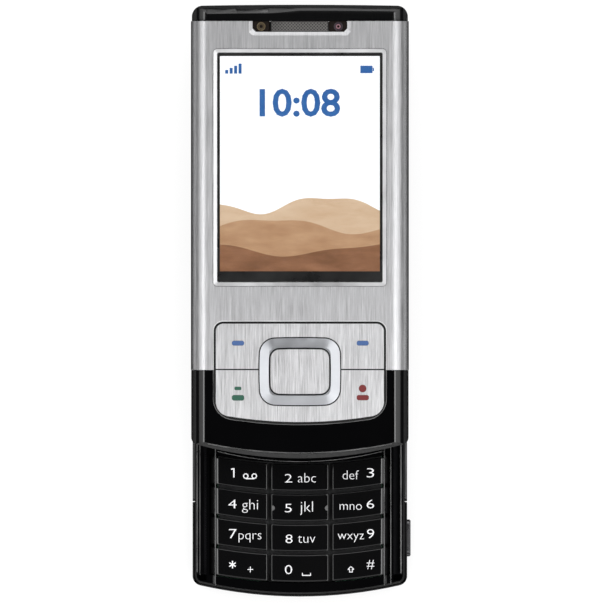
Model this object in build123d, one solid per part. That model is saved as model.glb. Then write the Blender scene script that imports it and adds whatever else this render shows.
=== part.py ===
from build123d import *

import os
from dataclasses import dataclass, replace
from math import asin, degrees, sqrt

# Slider phone, drawn open. Millimetres.
# The phone lies on its back: +Z out of the display, +Y towards the earpiece, +X to the right.
# The origin is the centre of the lower half's back face.

# ---------------------------------------------------------------- driving dimensions
# Lower half (the base) and upper half (the slider)
base_length = 96.5
base_width = 45.84
base_front = 8.2              # height of the rail strips beside the keys
base_back_round = 3.2         # rounding along the sides of the back
base_end_round = 2.4          # rounding where the back runs into the two ends
base_end_arc = 96.0           # bow of the bottom end, seen from the front
base_low_corner = 2.1
base_high_corner = 2.6

slider_length = 96.8
slider_width = 46.5
slider_floor = 9.1            # underside of the slider
slider_depth = 7.0
slide_travel = 29.7
slider_shoulder = 3.5         # rounding along the sides of the front
slider_back_round = 0.5
slider_end_arc = 83.0         # bow of the chin's lower end
slider_low_corner = 1.6
slider_high_corner = 2.6
chin_bevel = 1.0
cap_edge_round = 2.0
cap_crown = 1200.0            # the top end is almost straight
cap_inset = 0.2               # the cap is a little smaller than the steel
edge_break = 1.0              # edges up to this size are cut at an angle, larger ones are rounded
least_corner = 0.3
STRAIGHT = 0.0                # bow of an end that is not bowed

# Clearances
seat_gap = 0.05               # between pieces that are fixed to each other
run_gap = 0.05                # each side of a sliding fit
key_gap = 0.34                # around the two function-key plates
ring_gap = 0.25               # between the plates and the navigation ring
select_gap = 0.15             # between the ring and the select key
split_gap = 0.28              # between the soft-key plate and the call-key plate

# Walls
steel_wall = 0.6
chin_wall = 1.1
cap_wall = 1.2
rear_wall = 0.7
rim_depth = 1.5               # the rear cover's upstanding rim, measured from the outside
cover_wall = 0.45
panel_wall = 0.8
housing_wall = 1.1

# Front of the slider
chin_length = 18.9            # from the chin's end to the steel
cap_length = 3.5              # from the steel to the cap's end
steel_edge = 10.4             # lower edge of the steel's side walls
butt_gap = 0.04               # between covers that meet end to end

window_side = 0.53            # clear border beside, above and below the picture
window_above = 0.65
window_below = 2.3
window_corner = 0.45
window_bevel = 0.8
window_bevel_depth = 0.3

notch_half = 10.1
notch_depth = 2.3
notch_bevel = 0.75
notch_corner = 0.7

panel_half = 18.25            # opening for the function keys
panel_up = 7.46               # its lower edge, above the chin's end
panel_height = 21.64
panel_end_arc = 95.0
panel_low_corner = 3.4
panel_high_corner = 1.9
panel_bevel = 0.25
split_up = 19.0               # split between the two plates, above the chin's end
ui_end_room = 1.3             # the board's straight lower edge stays this far inside the bowed one

# Navigation ring and select key
ring_half_x = 8.6
ring_half_y = 7.15
ring_bulge = 0.25
ring_corner = 3.3
ring_below_split = 0.45
ring_rise = 0.3               # how far the ring stands above the front
ring_slope_rise = 0.45
ring_land = 0.05              # flat left between the ring's slope and its inner edge
select_half_x = 6.45
select_half_y = 4.95
select_bulge = 0.12
select_corner = 2.1
select_sink = 0.2             # the select key lies this far below the ring's crest
plate_sink = 0.08             # the two plates lie this far below the front

# Display
screen_width = 34.1
screen_height = 45.9
screen_drop = 7.45            # from the cap down to the picture
module_border = 1.0
module_thickness = 1.7
display_sheet = 0.25
window_thickness = 1.0
window_flange = 0.9
window_sink = 0.2

# Keypad of the base
row_up = 25.4                 # centre of the top row, above the base's lower end
block_margin = 0.76           # between the keypad block and the rail grooves
key_rows = 4
key_pitch = 6.46
key_height = 5.76
middle_half = 6.2
column_gap = 0.67
key_top = 8.75
lip_top = 8.6
row_arc = 104.0               # bow of the key rows
block_shoulder = 1.3
key_edge = 0.18
key_side_gap = 0.22
nub_radius = 0.75
nub_height = 0.12

# Rail grooves, rails and runners
groove_margin = 2.97          # from the base's side to the groove
groove_up = 3.45              # end of the groove, above the base's lower end
groove_width = 2.0
groove_round = 1.3
rail_top = 8.1
rail_floor = 6.3
runner_up = 4.5               # lower end of the runners, above the chin's end
rail_wall = 0.25
runner_length = 29.4
runner_stem = 0.9
runner_head_height = 0.55
runner_foot_width = 1.6
runner_lip_gap = 0.1

# Split of the base's outer shell along its length
cover_up = 20.35              # lower edge of the steel cover, above the base's lower end
camera_panel_length = 30.85
side_top = 7.0                # upper edge of the housing's flush side walls
cover_edge = 6.6              # upper edge of the steel cover's side flanges

# Boards and inner pieces of the base
board_bottom = 5.6
board_thickness = 0.7
frame_roof = 1.1              # front wall over the boards
dome_height = 0.15
dome_foot_radius = 1.6
sheet_thickness = 0.1
battery_thickness = 4.1
battery_margin = 0.75         # the battery is narrower than the board by this, each side
battery_low_margin = 3.7      # from the steel cover's two ends to the battery's
battery_high_margin = 3.6

# Side keys
rocker_down = 19.3            # centre, below the base's upper end
camera_key_up = 12.5          # centre, above the base's lower end
rocker_length = 17.1
rocker_height = 2.6
rocker_level = 3.8
rocker_proud = 0.25
camera_key_length = 7.9
camera_key_height = 2.5
camera_key_proud = 0.75
power_key_half = 4.2
power_key_height = 1.9
power_key_level = 4.0
power_key_proud = 0.4
side_key_flange = 0.5
side_key_gap = 0.15
side_key_travel = 0.4

# Camera, flash and loudspeaker on the back
lens_down = 10.75             # below the base's upper end
flash_to_lens = 10.9
flash_pitch = 3.2
lens_radius = 3.4
window_radius = 5.2
flash_radius = 1.35

speaker_margin = 8.72         # from the base's side to the middle of the slots
speaker_down = 12.05
speaker_to_flash = 10.8
speaker_slots = 4
speaker_slot_pitch = 1.6
speaker_slot_length = 6.0
speaker_slot_width = 0.7
speaker_offset = 1.2          # the capsule's middle lies this far from the middle of the slots
speaker_width = 8.4
speaker_length = 11.0
speaker_rim = 0.8             # its face is smaller than its body by this, all round
speaker_cut = 1.2
speaker_step = 1.2            # level where the face meets the body
speaker_back = 4.0

# Slide plate, springs and flex cable
plate_margin = 1.7            # the slide plate's bowed end lies this far inside the slider's
plate_length = 65.2
plate_depth = 0.4
plate_corner = 2.0
spring_x = 12.5
spring_hole_radius = 0.6
spring_eye_up = 47.7          # the slider's end of the spring, above the chin's end
spring_base_up = 50.25        # the base's end, above the base's lower end
spring_wire = 0.45
spring_coil = 2.2
spring_knee = 3.9
spring_lift = 0.33            # above the rail strips
coil_sides = 16
flex_width = 9.0
flex_thickness = 0.12
flex_margin = 0.5             # around the cable in its slots
flex_slot_up = 38.7           # slot in the slide plate, above the chin's end
flex_slot_length = 3.0
flex_low_up = 42.25           # where the cable leaves the base, above the base's lower end
flex_fold = 3.6               # the fold reaches this far past the slot
flex_board_up = 26.7          # plug on the function-key board, above the chin's end
flex_plug_half = 4.6
flex_inner_level = 11.1

# Frame of the slider
frame_gap = 0.06
frame_web_low = 11.6
frame_web_high = 12.0
display_tail = 3.2            # the tray's lower end holds the display's driver
display_room = 0.7            # beside the tray
underside_low = 5.5           # pocket behind the function keys, above the chin's end
underside_high = 30.6
underside_half = 18.8

# Earpiece, light sensor and camera for video calls
tile_sink = 0.5
sensor_tile_edge = 3.6        # inner edges of the outer tiles, from the notch's sides
camera_tile_edge = 3.85
mesh_span = (-6.15, 6.05)
mesh_thickness = 0.25
sensor_from_side = 1.85
camera_from_side = 1.9
lens_from_cap = 1.15
receiver_length = 11.6
receiver_width = 2.9
receiver_face_length = 9.6
receiver_face_width = 1.7
receiver_cut = 0.8

# Inside the function keys
plate_flange = 0.45           # the key plates hook under the covers by this much
hook_depth = 0.5
dome_x = 13.3
soft_dome_up = 5.45           # from the ring's centre
call_dome_down = 6.15
plunger_radius = 0.9
pad_margin = 0.3              # the mats' pads are wider than the plungers by this
ui_board_thickness = 0.6
nav_dome_x = 7.2
nav_dome_y = 5.9
rock_room = 0.3               # free height below the ring's carrier
carrier_thickness = 0.45
ring_lift = 0.35              # between the carrier and the ring's skirt
foot_half = 1.2
foot_width = 0.95
foot_gap = 0.2

# Keypad mat
key_thickness = 1.55
mat_thickness = 0.2
mat_gap = 0.12                # between the plungers' level and the mat's sheet
mat_pad_width = 7.0
mat_pad_height = 3.4

# Boards and shield cans of the base
board_margin = 1.59           # the board is narrower than the keypad block by this, each side
board_low_margin = 2.05
board_high_margin = 3.75
can_margin = 1.0
can_from_motor = 12.0
can_from_panel = 2.6
can_lengths = (5.0, 3.8)
can_spacing = 0.8
can_height = 1.6
can_sheet = 0.2
motor_margin = 0.6
motor_from_panel = 7.2
motor_level = 3.0
motor_radius = 1.8
motor_length = 7.8
weight_gap = 0.4              # between the motor and its eccentric weight
weight_length = 2.6
weight_radius = 1.7
shaft_radius = 0.4
shaft_hold = 0.2              # the shaft reaches into the weight by this
antenna_margin = 0.8

# Sockets in the upper end
socket_x = 11.5
socket_wall = 0.2
socket_length = 5.4
charging_radius = 1.0
headset_radius = 1.25
socket_level = 3.97

# Latch and the flanges of the side keys
latch_half = 4.0
latch_from_cover = 2.1
latch_length = 2.6
latch_travel = 0.9
latch_depth = 0.85
latch_sink = 0.12
flange_room = 0.35
flange_depth = 0.8
pocket_room = 0.25            # left behind a pressed flange

# Screws
screw_radius = 0.7
screw_head_radius = 1.25
screw_head = 0.45
screw_length = 1.6
screw_sides = 12
slider_screw_margin = 4.25    # from the slider's side
slider_screw_down = 7.6       # below the slider's upper end
base_screw_margin = 1.3       # beside the board
base_screw_up = 6.85          # above the centre of the top key row

# ---------------------------------------------------------------- worked-out levels
base_low = -base_length / 2
base_high = base_length / 2
base_half = base_width / 2
slider_low = slide_travel - slider_length / 2
slider_high = slide_travel + slider_length / 2
slider_half = slider_width / 2
slider_front = slider_floor + slider_depth
steel_inner = slider_front - steel_wall
steel_low = slider_low + chin_length
cap_line = slider_high - cap_length

screen_high = cap_line - screen_drop
screen_low = screen_high - screen_height
window_half = screen_width / 2 + window_side
window_low = screen_low - window_below
window_high = screen_high + window_above
window_shelf = steel_inner - window_thickness
display_low = screen_low - module_border - display_tail
display_high = screen_high + module_border
display_pocket_half = screen_width / 2 + module_border + display_sheet + display_room
frame_top = steel_inner - frame_gap
frame_bottom = slider_floor + rear_wall + seat_gap

tile_top = slider_front - tile_sink
tile_low = cap_line - notch_depth + seat_gap
tile_high = cap_line - butt_gap / 2
sensor_tile = (-notch_half + seat_gap, -notch_half + sensor_tile_edge)
camera_tile = (notch_half - camera_tile_edge, notch_half - 3 * seat_gap)
sensor_x = -notch_half + sensor_from_side
camera_x = notch_half - camera_from_side
lens_line = cap_line - lens_from_cap

panel_low = slider_low + panel_up
panel_high = panel_low + panel_height
split_line = slider_low + split_up
ring_centre = split_line - ring_below_split
ui_low = slider_low + underside_low
ui_high = slider_low + underside_high
soft_dome_y = ring_centre + soft_dome_up
call_dome_y = ring_centre - call_dome_down
flange_top = steel_inner - hook_depth
flange_bottom = flange_top - hook_depth
plate_top = slider_front - plate_sink
plate_bottom = flange_bottom
ui_board_bottom = frame_web_high + ring_lift
ui_board_top = ui_board_bottom + ui_board_thickness
ui_sheet_top = ui_board_top + seat_gap + sheet_thickness
nav_floor = ui_sheet_top + dome_height + rock_room
carrier_top = nav_floor + carrier_thickness
ring_bottom = carrier_top + ring_lift
ring_crest = slider_front + ring_rise
plunger_bottom = ui_sheet_top + 0.6
select_stem_bottom = ui_sheet_top + 0.5
foot_inner = select_half_x + select_gap + 0.1
foot_outer = foot_inner + foot_width

groove_inner = base_half - groove_margin
groove_low = base_low + groove_up
groove_middle = groove_inner + groove_width / 2
block_half = groove_inner - block_margin
first_row = base_low + row_up
keys_low = first_row - (key_rows - 1) * key_pitch - key_height / 2
keys_high = first_row + key_height / 2
key_side_inner = middle_half + column_gap
key_bottom = key_top - key_thickness
mat_low = keys_low - 0.1
mat_high = keys_high + 0.3

runner_start = slider_low + runner_up
plate_edge = groove_middle + runner_foot_width / 2
slide_plate_high = slider_low + plate_length
slide_plate_top = slider_floor + plate_depth
spring_eye_y = slider_low + spring_eye_up
spring_base_y = base_low + spring_base_up
spring_level = base_front + spring_lift
flex_slot_y = slider_low + flex_slot_up
flex_low_y = base_low + flex_low_up
flex_bend_y = flex_slot_y + flex_fold
flex_board_y = slider_low + flex_board_up

cover_low = base_low + cover_up
panel_start = base_high - camera_panel_length
board_top = board_bottom + board_thickness
board_half = block_half - board_margin
board_low = base_low + board_low_margin
board_high = base_high - board_high_margin
key_sheet_bottom = board_top + 0.02
key_sheet_top = key_sheet_bottom + sheet_thickness
plunger_end = key_sheet_top + dome_height
mat_bottom = plunger_end + mat_gap
mat_top = mat_bottom + mat_thickness
battery_half = board_half - battery_margin
battery_low = cover_low + battery_low_margin
battery_high = panel_start - battery_high_margin
motor_x = motor_margin - board_half
motor_y = panel_start + motor_from_panel
can_low = motor_x + can_from_motor
can_high = board_half - can_margin
antenna_half = board_half - antenna_margin

speaker_x = base_half - speaker_margin
speaker_y = base_high - speaker_down
flash_x = speaker_x - speaker_to_flash
lens_x = flash_x - flash_to_lens
lens_y = base_high - lens_down
socket_start = base_high - socket_length
rocker_centre = base_high - rocker_down
camera_key_centre = base_low + camera_key_up
flange_face = base_half - panel_wall - flange_room
pocket_wall = base_half - panel_wall - seat_gap
pocket_depth = flange_face - flange_depth - side_key_travel - pocket_room
latch_high = cover_low - latch_from_cover
latch_low = latch_high - latch_length
slider_screw_x = slider_half - slider_screw_margin
slider_screw_y = slider_high - slider_screw_down
base_screw_x = board_half + base_screw_margin
base_screw_y = first_row + base_screw_up

BIG = 400.0                   # larger than the phone, for cutting tools
OVERCUT = 3.0                 # how far a cutter runs past the form it trims


# ---------------------------------------------------------------- shape helpers
def block(x_range, y_range, z_range):
    """Box between two corners, each range given as (low, high)."""
    (x0, x1), (y0, y1), (z0, z1) = x_range, y_range, z_range
    middle = Pos((x0 + x1) / 2, (y0 + y1) / 2, (z0 + z1) / 2)
    return middle * Box(x1 - x0, y1 - y0, z1 - z0)


def prism(face, low, high):
    """Upright prism on a plan outline between two heights."""
    return Pos(0, 0, low) * extrude(face, amount=high - low)


def post(x, y, low, high, radius):
    """Upright round post."""
    return Pos(x, y, (low + high) / 2) * Cylinder(radius, high - low)


def peg(x, y, low, high, radius, sides=8):
    """Upright many-sided post, for moulded plungers, pads, screws and their bosses."""
    return prism(Pos(x, y) * RegularPolygon(radius, sides), low, high)


def along_y(face, low, high):
    """Prism along Y on an outline drawn in X and Z."""
    return Pos(0, high, 0) * extrude(Plane.XZ * face, amount=high - low)


def cut_rectangle(width, height, cut):
    """Rectangle with its corners cut off."""
    return chamfer(Rectangle(width, height).vertices(), cut)


def rod_x(x0, x1, y, z, radius):
    """Twelve-sided rod along X, for small turned pieces."""
    return Pos(x0, 0, 0) * extrude(Plane.YZ * (Pos(y, z) * RegularPolygon(radius, 12)), amount=x1 - x0)


def rod_y(x, y0, y1, z, radius):
    """Round rod along Y."""
    return Pos(x, (y0 + y1) / 2, z) * Rot(90, 0, 0) * Cylinder(radius, y1 - y0)


def mirrored(shape):
    """The same shape on the other side of the phone's middle plane."""
    return mirror(shape, about=Plane.YZ)


def flipped(shape):
    """The same shape turned over end for end."""
    return mirror(shape, about=Plane.XZ)


def both_sides(shape):
    """A shape and its mirror image as two separate solids."""
    return Compound(children=[*shape.solids(), *mirrored(shape).solids()])


def group(shapes):
    """Separate solids kept together as one piece."""
    return Compound(children=[solid for shape in shapes for solid in shape.solids()])


def bowed_plan(half, low, high, low_arc, low_corner, high_corner):
    """Plan outline with a bowed lower end and four rounded corners."""
    face = Pos(0, (low + high) / 2) * Rectangle(2 * half, high - low)
    face = face & Pos(0, low + low_arc) * Circle(low_arc)
    by_height = face.vertices().sort_by(Axis.Y)
    sides = [v for v in by_height if abs(abs(v.X) - half) < half / 100]
    face = fillet(sides[:2], low_corner)
    sides = [v for v in face.vertices().sort_by(Axis.Y) if abs(abs(v.X) - half) < half / 100]
    return fillet(sides[-2:], high_corner)


def bulged_plan(half_x, half_y, bulge, corner, centre_y=0.0):
    """Rounded rectangle whose four sides swell outwards a little."""
    x_end = half_x - bulge
    y_end = half_y - bulge
    sides = [
        ThreePointArc((-x_end, -y_end), (0, -half_y), (x_end, -y_end)),
        ThreePointArc((x_end, -y_end), (half_x, 0), (x_end, y_end)),
        ThreePointArc((x_end, y_end), (0, half_y), (-x_end, y_end)),
        ThreePointArc((-x_end, y_end), (-half_x, 0), (-x_end, -y_end)),
    ]
    face = make_face(Curve() + sides)
    return Pos(0, centre_y) * fillet(face.vertices(), corner)


def softened(section, which, radius):
    """Section with two of its corners rounded, or cut where the edge is small; counted from the lowest."""
    corners = section.vertices().sort_by(Axis.Y)[which]
    if radius == 0:
        return section
    return chamfer(corners, radius) if radius <= edge_break else fillet(corners, radius)


@dataclass(frozen=True)
class Half:
    """Outer form of one half of the phone: a rounded section cut by two bowed, rounded ends."""

    half: float
    low: float
    high: float
    floor: float
    top: float
    low_arc: float
    high_arc: float
    low_corner: float
    high_corner: float
    side_back: float
    side_front: float
    low_back: float
    low_front: float
    high_back: float
    high_front: float
    cut_rims: bool = False

    def hollow(self, wall, floor_wall=None, top_wall=None):
        """Inner form: pushed in by a wall, with its bowed rims cut at an angle instead of rounded."""
        return replace(self.inset(wall, floor_wall, top_wall), cut_rims=True)

    def inset(self, wall, floor_wall=None, top_wall=None):
        """The same form pushed in by a wall; the floor and the top may differ."""
        floor_wall = wall if floor_wall is None else floor_wall
        top_wall = wall if top_wall is None else top_wall
        return replace(
            self,
            half=self.half - wall,
            low=self.low + wall,
            high=self.high - wall,
            floor=self.floor + floor_wall,
            top=self.top - top_wall,
            low_arc=self.low_arc - wall,
            high_arc=max(self.high_arc - wall, STRAIGHT),
            low_corner=max(self.low_corner - wall, least_corner),
            high_corner=max(self.high_corner - wall, least_corner),
            side_back=max(self.side_back - wall, 0.0),
            side_front=max(self.side_front - wall, 0.0),
            low_back=max(self.low_back - wall, 0.0),
            low_front=max(self.low_front - wall, 0.0),
            high_back=max(self.high_back - wall, 0.0),
            high_front=max(self.high_front - wall, 0.0),
        )

    def plan(self):
        """Plan outline of the form."""
        return bowed_plan(self.half, self.low, self.high, self.low_arc, self.low_corner, self.high_corner)

    def bar(self):
        """Straight bar with the rounded section, longer than the form."""
        section = Pos(0, (self.floor + self.top) / 2) * Rectangle(2 * self.half, self.top - self.floor)
        section = softened(section, slice(0, 2), self.side_back)
        section = softened(section, slice(-2, None), self.side_front)
        length = self.high - self.low + 2 * OVERCUT
        return Pos(0, self.high + OVERCUT, 0) * extrude(Plane.XZ * section, amount=length)

    def rim_corner(self, start, end):
        """Quarter round between the end wall and the front or back, or a cut where the edge is small."""
        size = abs(end[0] - start[0])
        if size == 0:
            return []
        if self.cut_rims or size <= edge_break:
            return [Line(start, end)]
        return [RadiusArc(start, end, size)]

    def rim_cutter(self, arc, back, front):
        """Sector of a ring, or a straight bar, that trims a lower end at y = 0 and rounds its edges."""
        far = arc + 4 * OVERCUT
        outline = [Line((arc - front, self.top + OVERCUT), (arc - front, self.top))]
        outline += self.rim_corner((arc - front, self.top), (arc, self.top - front))
        outline.append(Line((arc, self.top - front), (arc, self.floor + back)))
        outline += self.rim_corner((arc, self.floor + back), (arc - back, self.floor))
        outline += [
            Line((arc - back, self.floor), (arc - back, self.floor - OVERCUT)),
            Line((arc - back, self.floor - OVERCUT), (far, self.floor - OVERCUT)),
            Line((far, self.floor - OVERCUT), (far, self.top + OVERCUT)),
            Line((far, self.top + OVERCUT), (arc - front, self.top + OVERCUT)),
        ]
        section = Plane.XZ * make_face(Curve() + outline)
        if arc == STRAIGHT:
            return Rot(0, 0, -90) * extrude(section, amount=self.half + OVERCUT, both=True)
        spread = degrees(asin((self.half + OVERCUT) / (arc - front - back)))
        ring = revolve(section, axis=Axis.Z, revolution_arc=2 * spread)
        return Pos(0, arc, 0) * Rot(0, 0, -90 - spread) * ring

    def corner_cutter(self, arc, radius):
        """Upright cutter that rounds the corner between the right side and a bowed lower end at y = 0."""
        x = self.half - radius
        if arc == STRAIGHT:
            y = radius
            end = (x, -OVERCUT)
        else:
            y = arc - sqrt((arc - radius) ** 2 - x ** 2)
            stretch = (arc + OVERCUT) / (arc - radius)
            end = (x * stretch, arc + (y - arc) * stretch)
        wedge = make_face(Polyline(
            (x, y), (self.half + OVERCUT, y), (self.half + OVERCUT, end[1]), end, close=True,
        ))
        plan = wedge - Pos(x, y) * Circle(radius)
        return prism(plan, self.floor - OVERCUT, self.top + OVERCUT)

    def solid(self):
        """The whole form."""
        low_end = Pos(0, self.low, 0)
        high_end = Pos(0, self.high, 0)
        low_rim = self.rim_cutter(self.low_arc, self.low_back, self.low_front)
        high_rim = self.rim_cutter(self.high_arc, self.high_back, self.high_front)
        low_corner = self.corner_cutter(self.low_arc, self.low_corner)
        high_corner = flipped(self.corner_cutter(self.high_arc, self.high_corner))
        body = self.bar() - low_end * low_rim - high_end * flipped(high_rim)
        for place, corner in ((low_end, low_corner), (high_end, high_corner)):
            body = body - place * corner - place * mirrored(corner)
        return body


SLIDER = Half(
    half=slider_half,
    low=slider_low,
    high=slider_high,
    floor=slider_floor,
    top=slider_front,
    low_arc=slider_end_arc,
    high_arc=cap_crown,
    low_corner=slider_low_corner,
    high_corner=slider_high_corner,
    side_back=slider_back_round,
    side_front=slider_shoulder,
    low_back=slider_back_round,
    low_front=chin_bevel,
    high_back=slider_back_round,
    high_front=cap_edge_round,
)

BASE = Half(
    half=base_half,
    low=base_low,
    high=base_high,
    floor=0.0,
    top=side_top,
    low_arc=base_end_arc,
    high_arc=STRAIGHT,
    low_corner=base_low_corner,
    high_corner=base_high_corner,
    side_back=base_back_round,
    side_front=0.3,
    low_back=base_end_round,
    low_front=0.3,
    high_back=base_end_round,
    high_front=0.3,
)


def band(y_low, y_high, z_low=-BIG, z_high=BIG):
    """Slab across the whole phone, for keeping or cutting one stretch of it."""
    return block((-BIG, BIG), (y_low, y_high), (z_low, z_high))


# ---------------------------------------------------------------- slider: covers
def window_cut(grow=0.0):
    """Opening for the display window, flared at the front."""
    centre = (window_low + window_high) / 2
    width = 2 * (window_half + grow)
    height = window_high - window_low + 2 * grow
    straight = RectangleRounded(width, height, window_corner)
    wide = RectangleRounded(width + 2 * window_bevel, height + 2 * window_bevel, window_corner)
    low = slider_front - window_bevel_depth
    tool = prism(Pos(0, centre) * straight, slider_floor + rear_wall, slider_front + 1)
    if grow:
        return tool
    flare = loft([Pos(0, centre, low) * straight, Pos(0, centre, slider_front) * wide])
    return tool + flare


def notch_plan(grow=0.0):
    """Outline of the earpiece notch, cut-off corners at its lower side, open towards the cap."""
    half = notch_half + grow
    low = cap_line - notch_depth - grow
    cut = notch_corner
    outline = Polyline(
        (-half, cap_line + 1),
        (-half, low + cut),
        (-half + cut, low),
        (half - cut, low),
        (half, low + cut),
        (half, cap_line + 1),
        close=True,
    )
    return make_face(outline)


def notch_cut():
    """Notch with a sloping edge around it."""
    low = slider_front - window_bevel_depth
    straight = prism(notch_plan(), slider_floor + rear_wall, slider_front + 1)
    flare = loft([Pos(0, 0, low) * notch_plan(), Pos(0, 0, slider_front) * notch_plan(notch_bevel)])
    return straight + flare


def key_panel(grow=0.0):
    """Outline of the opening that the function keys sit in."""
    return bowed_plan(
        panel_half + grow,
        panel_low - grow,
        panel_high + grow,
        panel_end_arc + grow,
        panel_low_corner + grow,
        panel_high_corner + grow,
    )


def ui_outline(grow):
    """Outline of the function-key board and mat: straight edges inside the bowed opening."""
    low = panel_low + ui_end_room
    outline = cut_rectangle(2 * (panel_half + grow), panel_high - low + 2 * grow, panel_low_corner)
    return Pos(0, (panel_high + low) / 2) * outline


def key_panel_cut():
    """Function-key opening with a fine bevel at the front."""
    straight = prism(key_panel(), slider_floor + rear_wall, slider_front + 1)
    bevel = loft([
        Pos(0, 0, slider_front - panel_bevel) * key_panel(),
        Pos(0, 0, slider_front) * key_panel(panel_bevel),
    ])
    return straight + bevel


def front_cover():
    """Drawn steel cover: flat front, rolled sides, window, notch and half of the key opening."""
    shell = SLIDER.solid() - SLIDER.hollow(steel_wall).solid()
    reach = band(steel_low, cap_line, steel_edge, BIG)
    return shell & reach - window_cut() - notch_cut() - key_panel_cut()


def top_cap():
    """Glossy end cap, hollow towards the earpiece."""
    form = replace(SLIDER.inset(cap_inset, 0.0, cap_inset), high=slider_high)
    outer = form.solid() & band(cap_line + butt_gap, BIG)
    return outer - SLIDER.hollow(cap_wall, rear_wall, cap_wall).solid()


def chin_cover():
    """Glossy lower cover, closed at its lower end, with the other half of the key opening."""
    outer = SLIDER.inset(0.06, 0.0, 0.06).solid() & band(-BIG, steel_low - butt_gap)
    hollow = SLIDER.hollow(chin_wall, -1.0, chin_wall).solid()
    relief = prism(key_panel(plate_flange + key_gap), slider_floor + rear_wall, steel_inner)
    return outer - hollow - relief - key_panel_cut()


def slider_back_cover():
    """Rear cover of the slider with a recess for the slide plate and screw holes."""
    low = band(-BIG, BIG, -BIG, steel_edge - seat_gap)
    wide = SLIDER.inset(cap_inset, 0.0, 0.0).solid() & band(steel_low, cap_line - butt_gap) & low
    narrow = SLIDER.hollow(chin_wall + seat_gap, 0.0, 0.0).solid() & band(-BIG, steel_low) & low
    body = wide + narrow
    hollow = SLIDER.hollow(rim_depth, rear_wall, 0.0).solid()
    body = body - hollow - slide_plate_plan_solid(seat_gap, slider_floor - 1, slide_plate_top + seat_gap)
    body = body - flex_slot(rear_wall + 1.0)
    for x, y in slider_screw_places():
        body = body - screw_hole(x, y)
    return body


# ---------------------------------------------------------------- slider: slide plate and runners


def slide_plate_plan_solid(grow, low, high):
    """Block with the slide plate's outline: rounded upper corners, lower end bowed like the slider's."""
    top = slide_plate_high + grow
    length = top - slider_low
    outline = Pos(0, top - length / 2) * RectangleRounded(2 * (plate_edge + grow), length, plate_corner)
    bow = Pos(0, slider_low + plate_margin + slider_end_arc) * Circle(slider_end_arc + grow)
    return prism(outline & bow, low, high)


def flex_slot(height):
    """Slot through which the flex cable enters the slider."""
    half = flex_width / 2 + flex_margin
    return block(
        (-half, half),
        (flex_slot_y, flex_slot_y + flex_slot_length),
        (slider_floor - 1, slider_floor + height),
    )


def slide_plate():
    """Steel plate let into the slider's underside."""
    plate = slide_plate_plan_solid(0.0, slider_floor, slide_plate_top)
    for side in (-1, 1):
        hole = peg(side * spring_x, spring_eye_y, slider_floor - 1, slide_plate_top + 1, spring_hole_radius)
        plate = plate - hole
    return plate - flex_slot(1.0)


def slide_runner():
    """T-section runner: foot on the slide plate, stem through the rail's mouth, head inside it."""
    x = groove_middle
    y_range = (runner_start, runner_start + runner_length)
    foot_bottom = rail_top + 2 * runner_lip_gap
    lip_bottom = rail_top - rail_wall
    head_half = (groove_width - 2 * rail_wall) / 2 - run_gap
    head_top = lip_bottom - runner_lip_gap
    head = block((x - head_half, x + head_half), y_range, (head_top - runner_head_height, head_top))
    stem_half = runner_stem / 2
    stem = block((x - stem_half, x + stem_half), y_range, (head_top, foot_bottom))
    foot_half = runner_foot_width / 2
    foot = block((x - foot_half, x + foot_half), y_range, (foot_bottom, slider_floor))
    runner = head + stem + foot
    low_edges = runner.edges().filter_by(Axis.X).group_by(Axis.Z)[0]
    return chamfer(low_edges, run_gap * 4)


# ---------------------------------------------------------------- slider: frame and display


def slider_frame():
    """Moulded frame: side walls and a web, with pockets for the display and the key boards."""
    gap = steel_wall + frame_gap
    upper = SLIDER.hollow(gap).solid() & band(steel_low, cap_line - butt_gap)
    lower = SLIDER.hollow(chin_wall + frame_gap).solid() & band(-BIG, steel_low + 1)
    body = (upper + lower) & band(-BIG, BIG, frame_bottom, frame_top)
    body = body - slider_back_inner()
    pocket_top = slider_front + 1
    body = body - block(
        (-display_pocket_half, display_pocket_half),
        (display_low - 0.4, window_high + window_flange + seat_gap),
        (frame_web_high, pocket_top),
    )
    body = body - prism(key_panel(plate_flange + key_gap), frame_web_high, pocket_top)
    ear_pocket = block((-notch_half - 0.8, notch_half + 0.8), (display_high + 1.2, BIG), (frame_web_high, pocket_top))
    body = body - ear_pocket
    for y_range in ((ui_low, ui_high), (ui_high + 2.0, display_high)):
        body = body - block((-underside_half, underside_half), y_range, (frame_bottom - 1, frame_web_low))
    half = flex_width / 2 + flex_margin
    body = body - block((-half, half), (flex_board_y, flex_slot_y + 2), (flex_inner_level - 0.4, frame_web_low))
    body = body - block((-half, half), (flex_board_y - 0.5, flex_board_y + 0.5), (frame_bottom, frame_web_high + 1))
    for x, y in slider_screw_places():
        body = body - peg(x, y, frame_bottom - 1, frame_bottom + screw_length, screw_radius + seat_gap)
    return body


def slider_back_inner():
    """Space that the rear cover's upstanding rim takes from the frame."""
    inner = SLIDER.hollow(rim_depth + seat_gap, -OVERCUT, 0.0).solid()
    return band(slider_low - OVERCUT, slider_high + OVERCUT, frame_bottom - OVERCUT, steel_edge + frame_gap) - inner


def display_module():
    """Display glass with its active area facing the window."""
    half = screen_width / 2 + module_border - 0.1
    low = display_low + display_sheet + 0.1
    high = display_high - display_sheet - 0.1
    bottom = frame_web_high + 0.15 + display_sheet
    return block((-half, half), (low, high), (bottom, bottom + module_thickness))


def display_frame():
    """Sheet-metal tray that holds the display, open over the active area."""
    half = screen_width / 2 + module_border + display_sheet
    bottom = frame_web_high + 0.1
    top = bottom + module_thickness + 2 * display_sheet + 0.1
    tray = block((-half, half), (display_low, display_high), (bottom, top))
    inner = block(
        (-half + display_sheet, half - display_sheet),
        (display_low + display_sheet, display_high - display_sheet),
        (bottom + display_sheet, top - display_sheet),
    )
    opening = block(
        (-screen_width / 2, screen_width / 2), (screen_low, screen_high), (bottom + display_sheet, top + 1)
    )
    return tray - inner - opening


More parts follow.
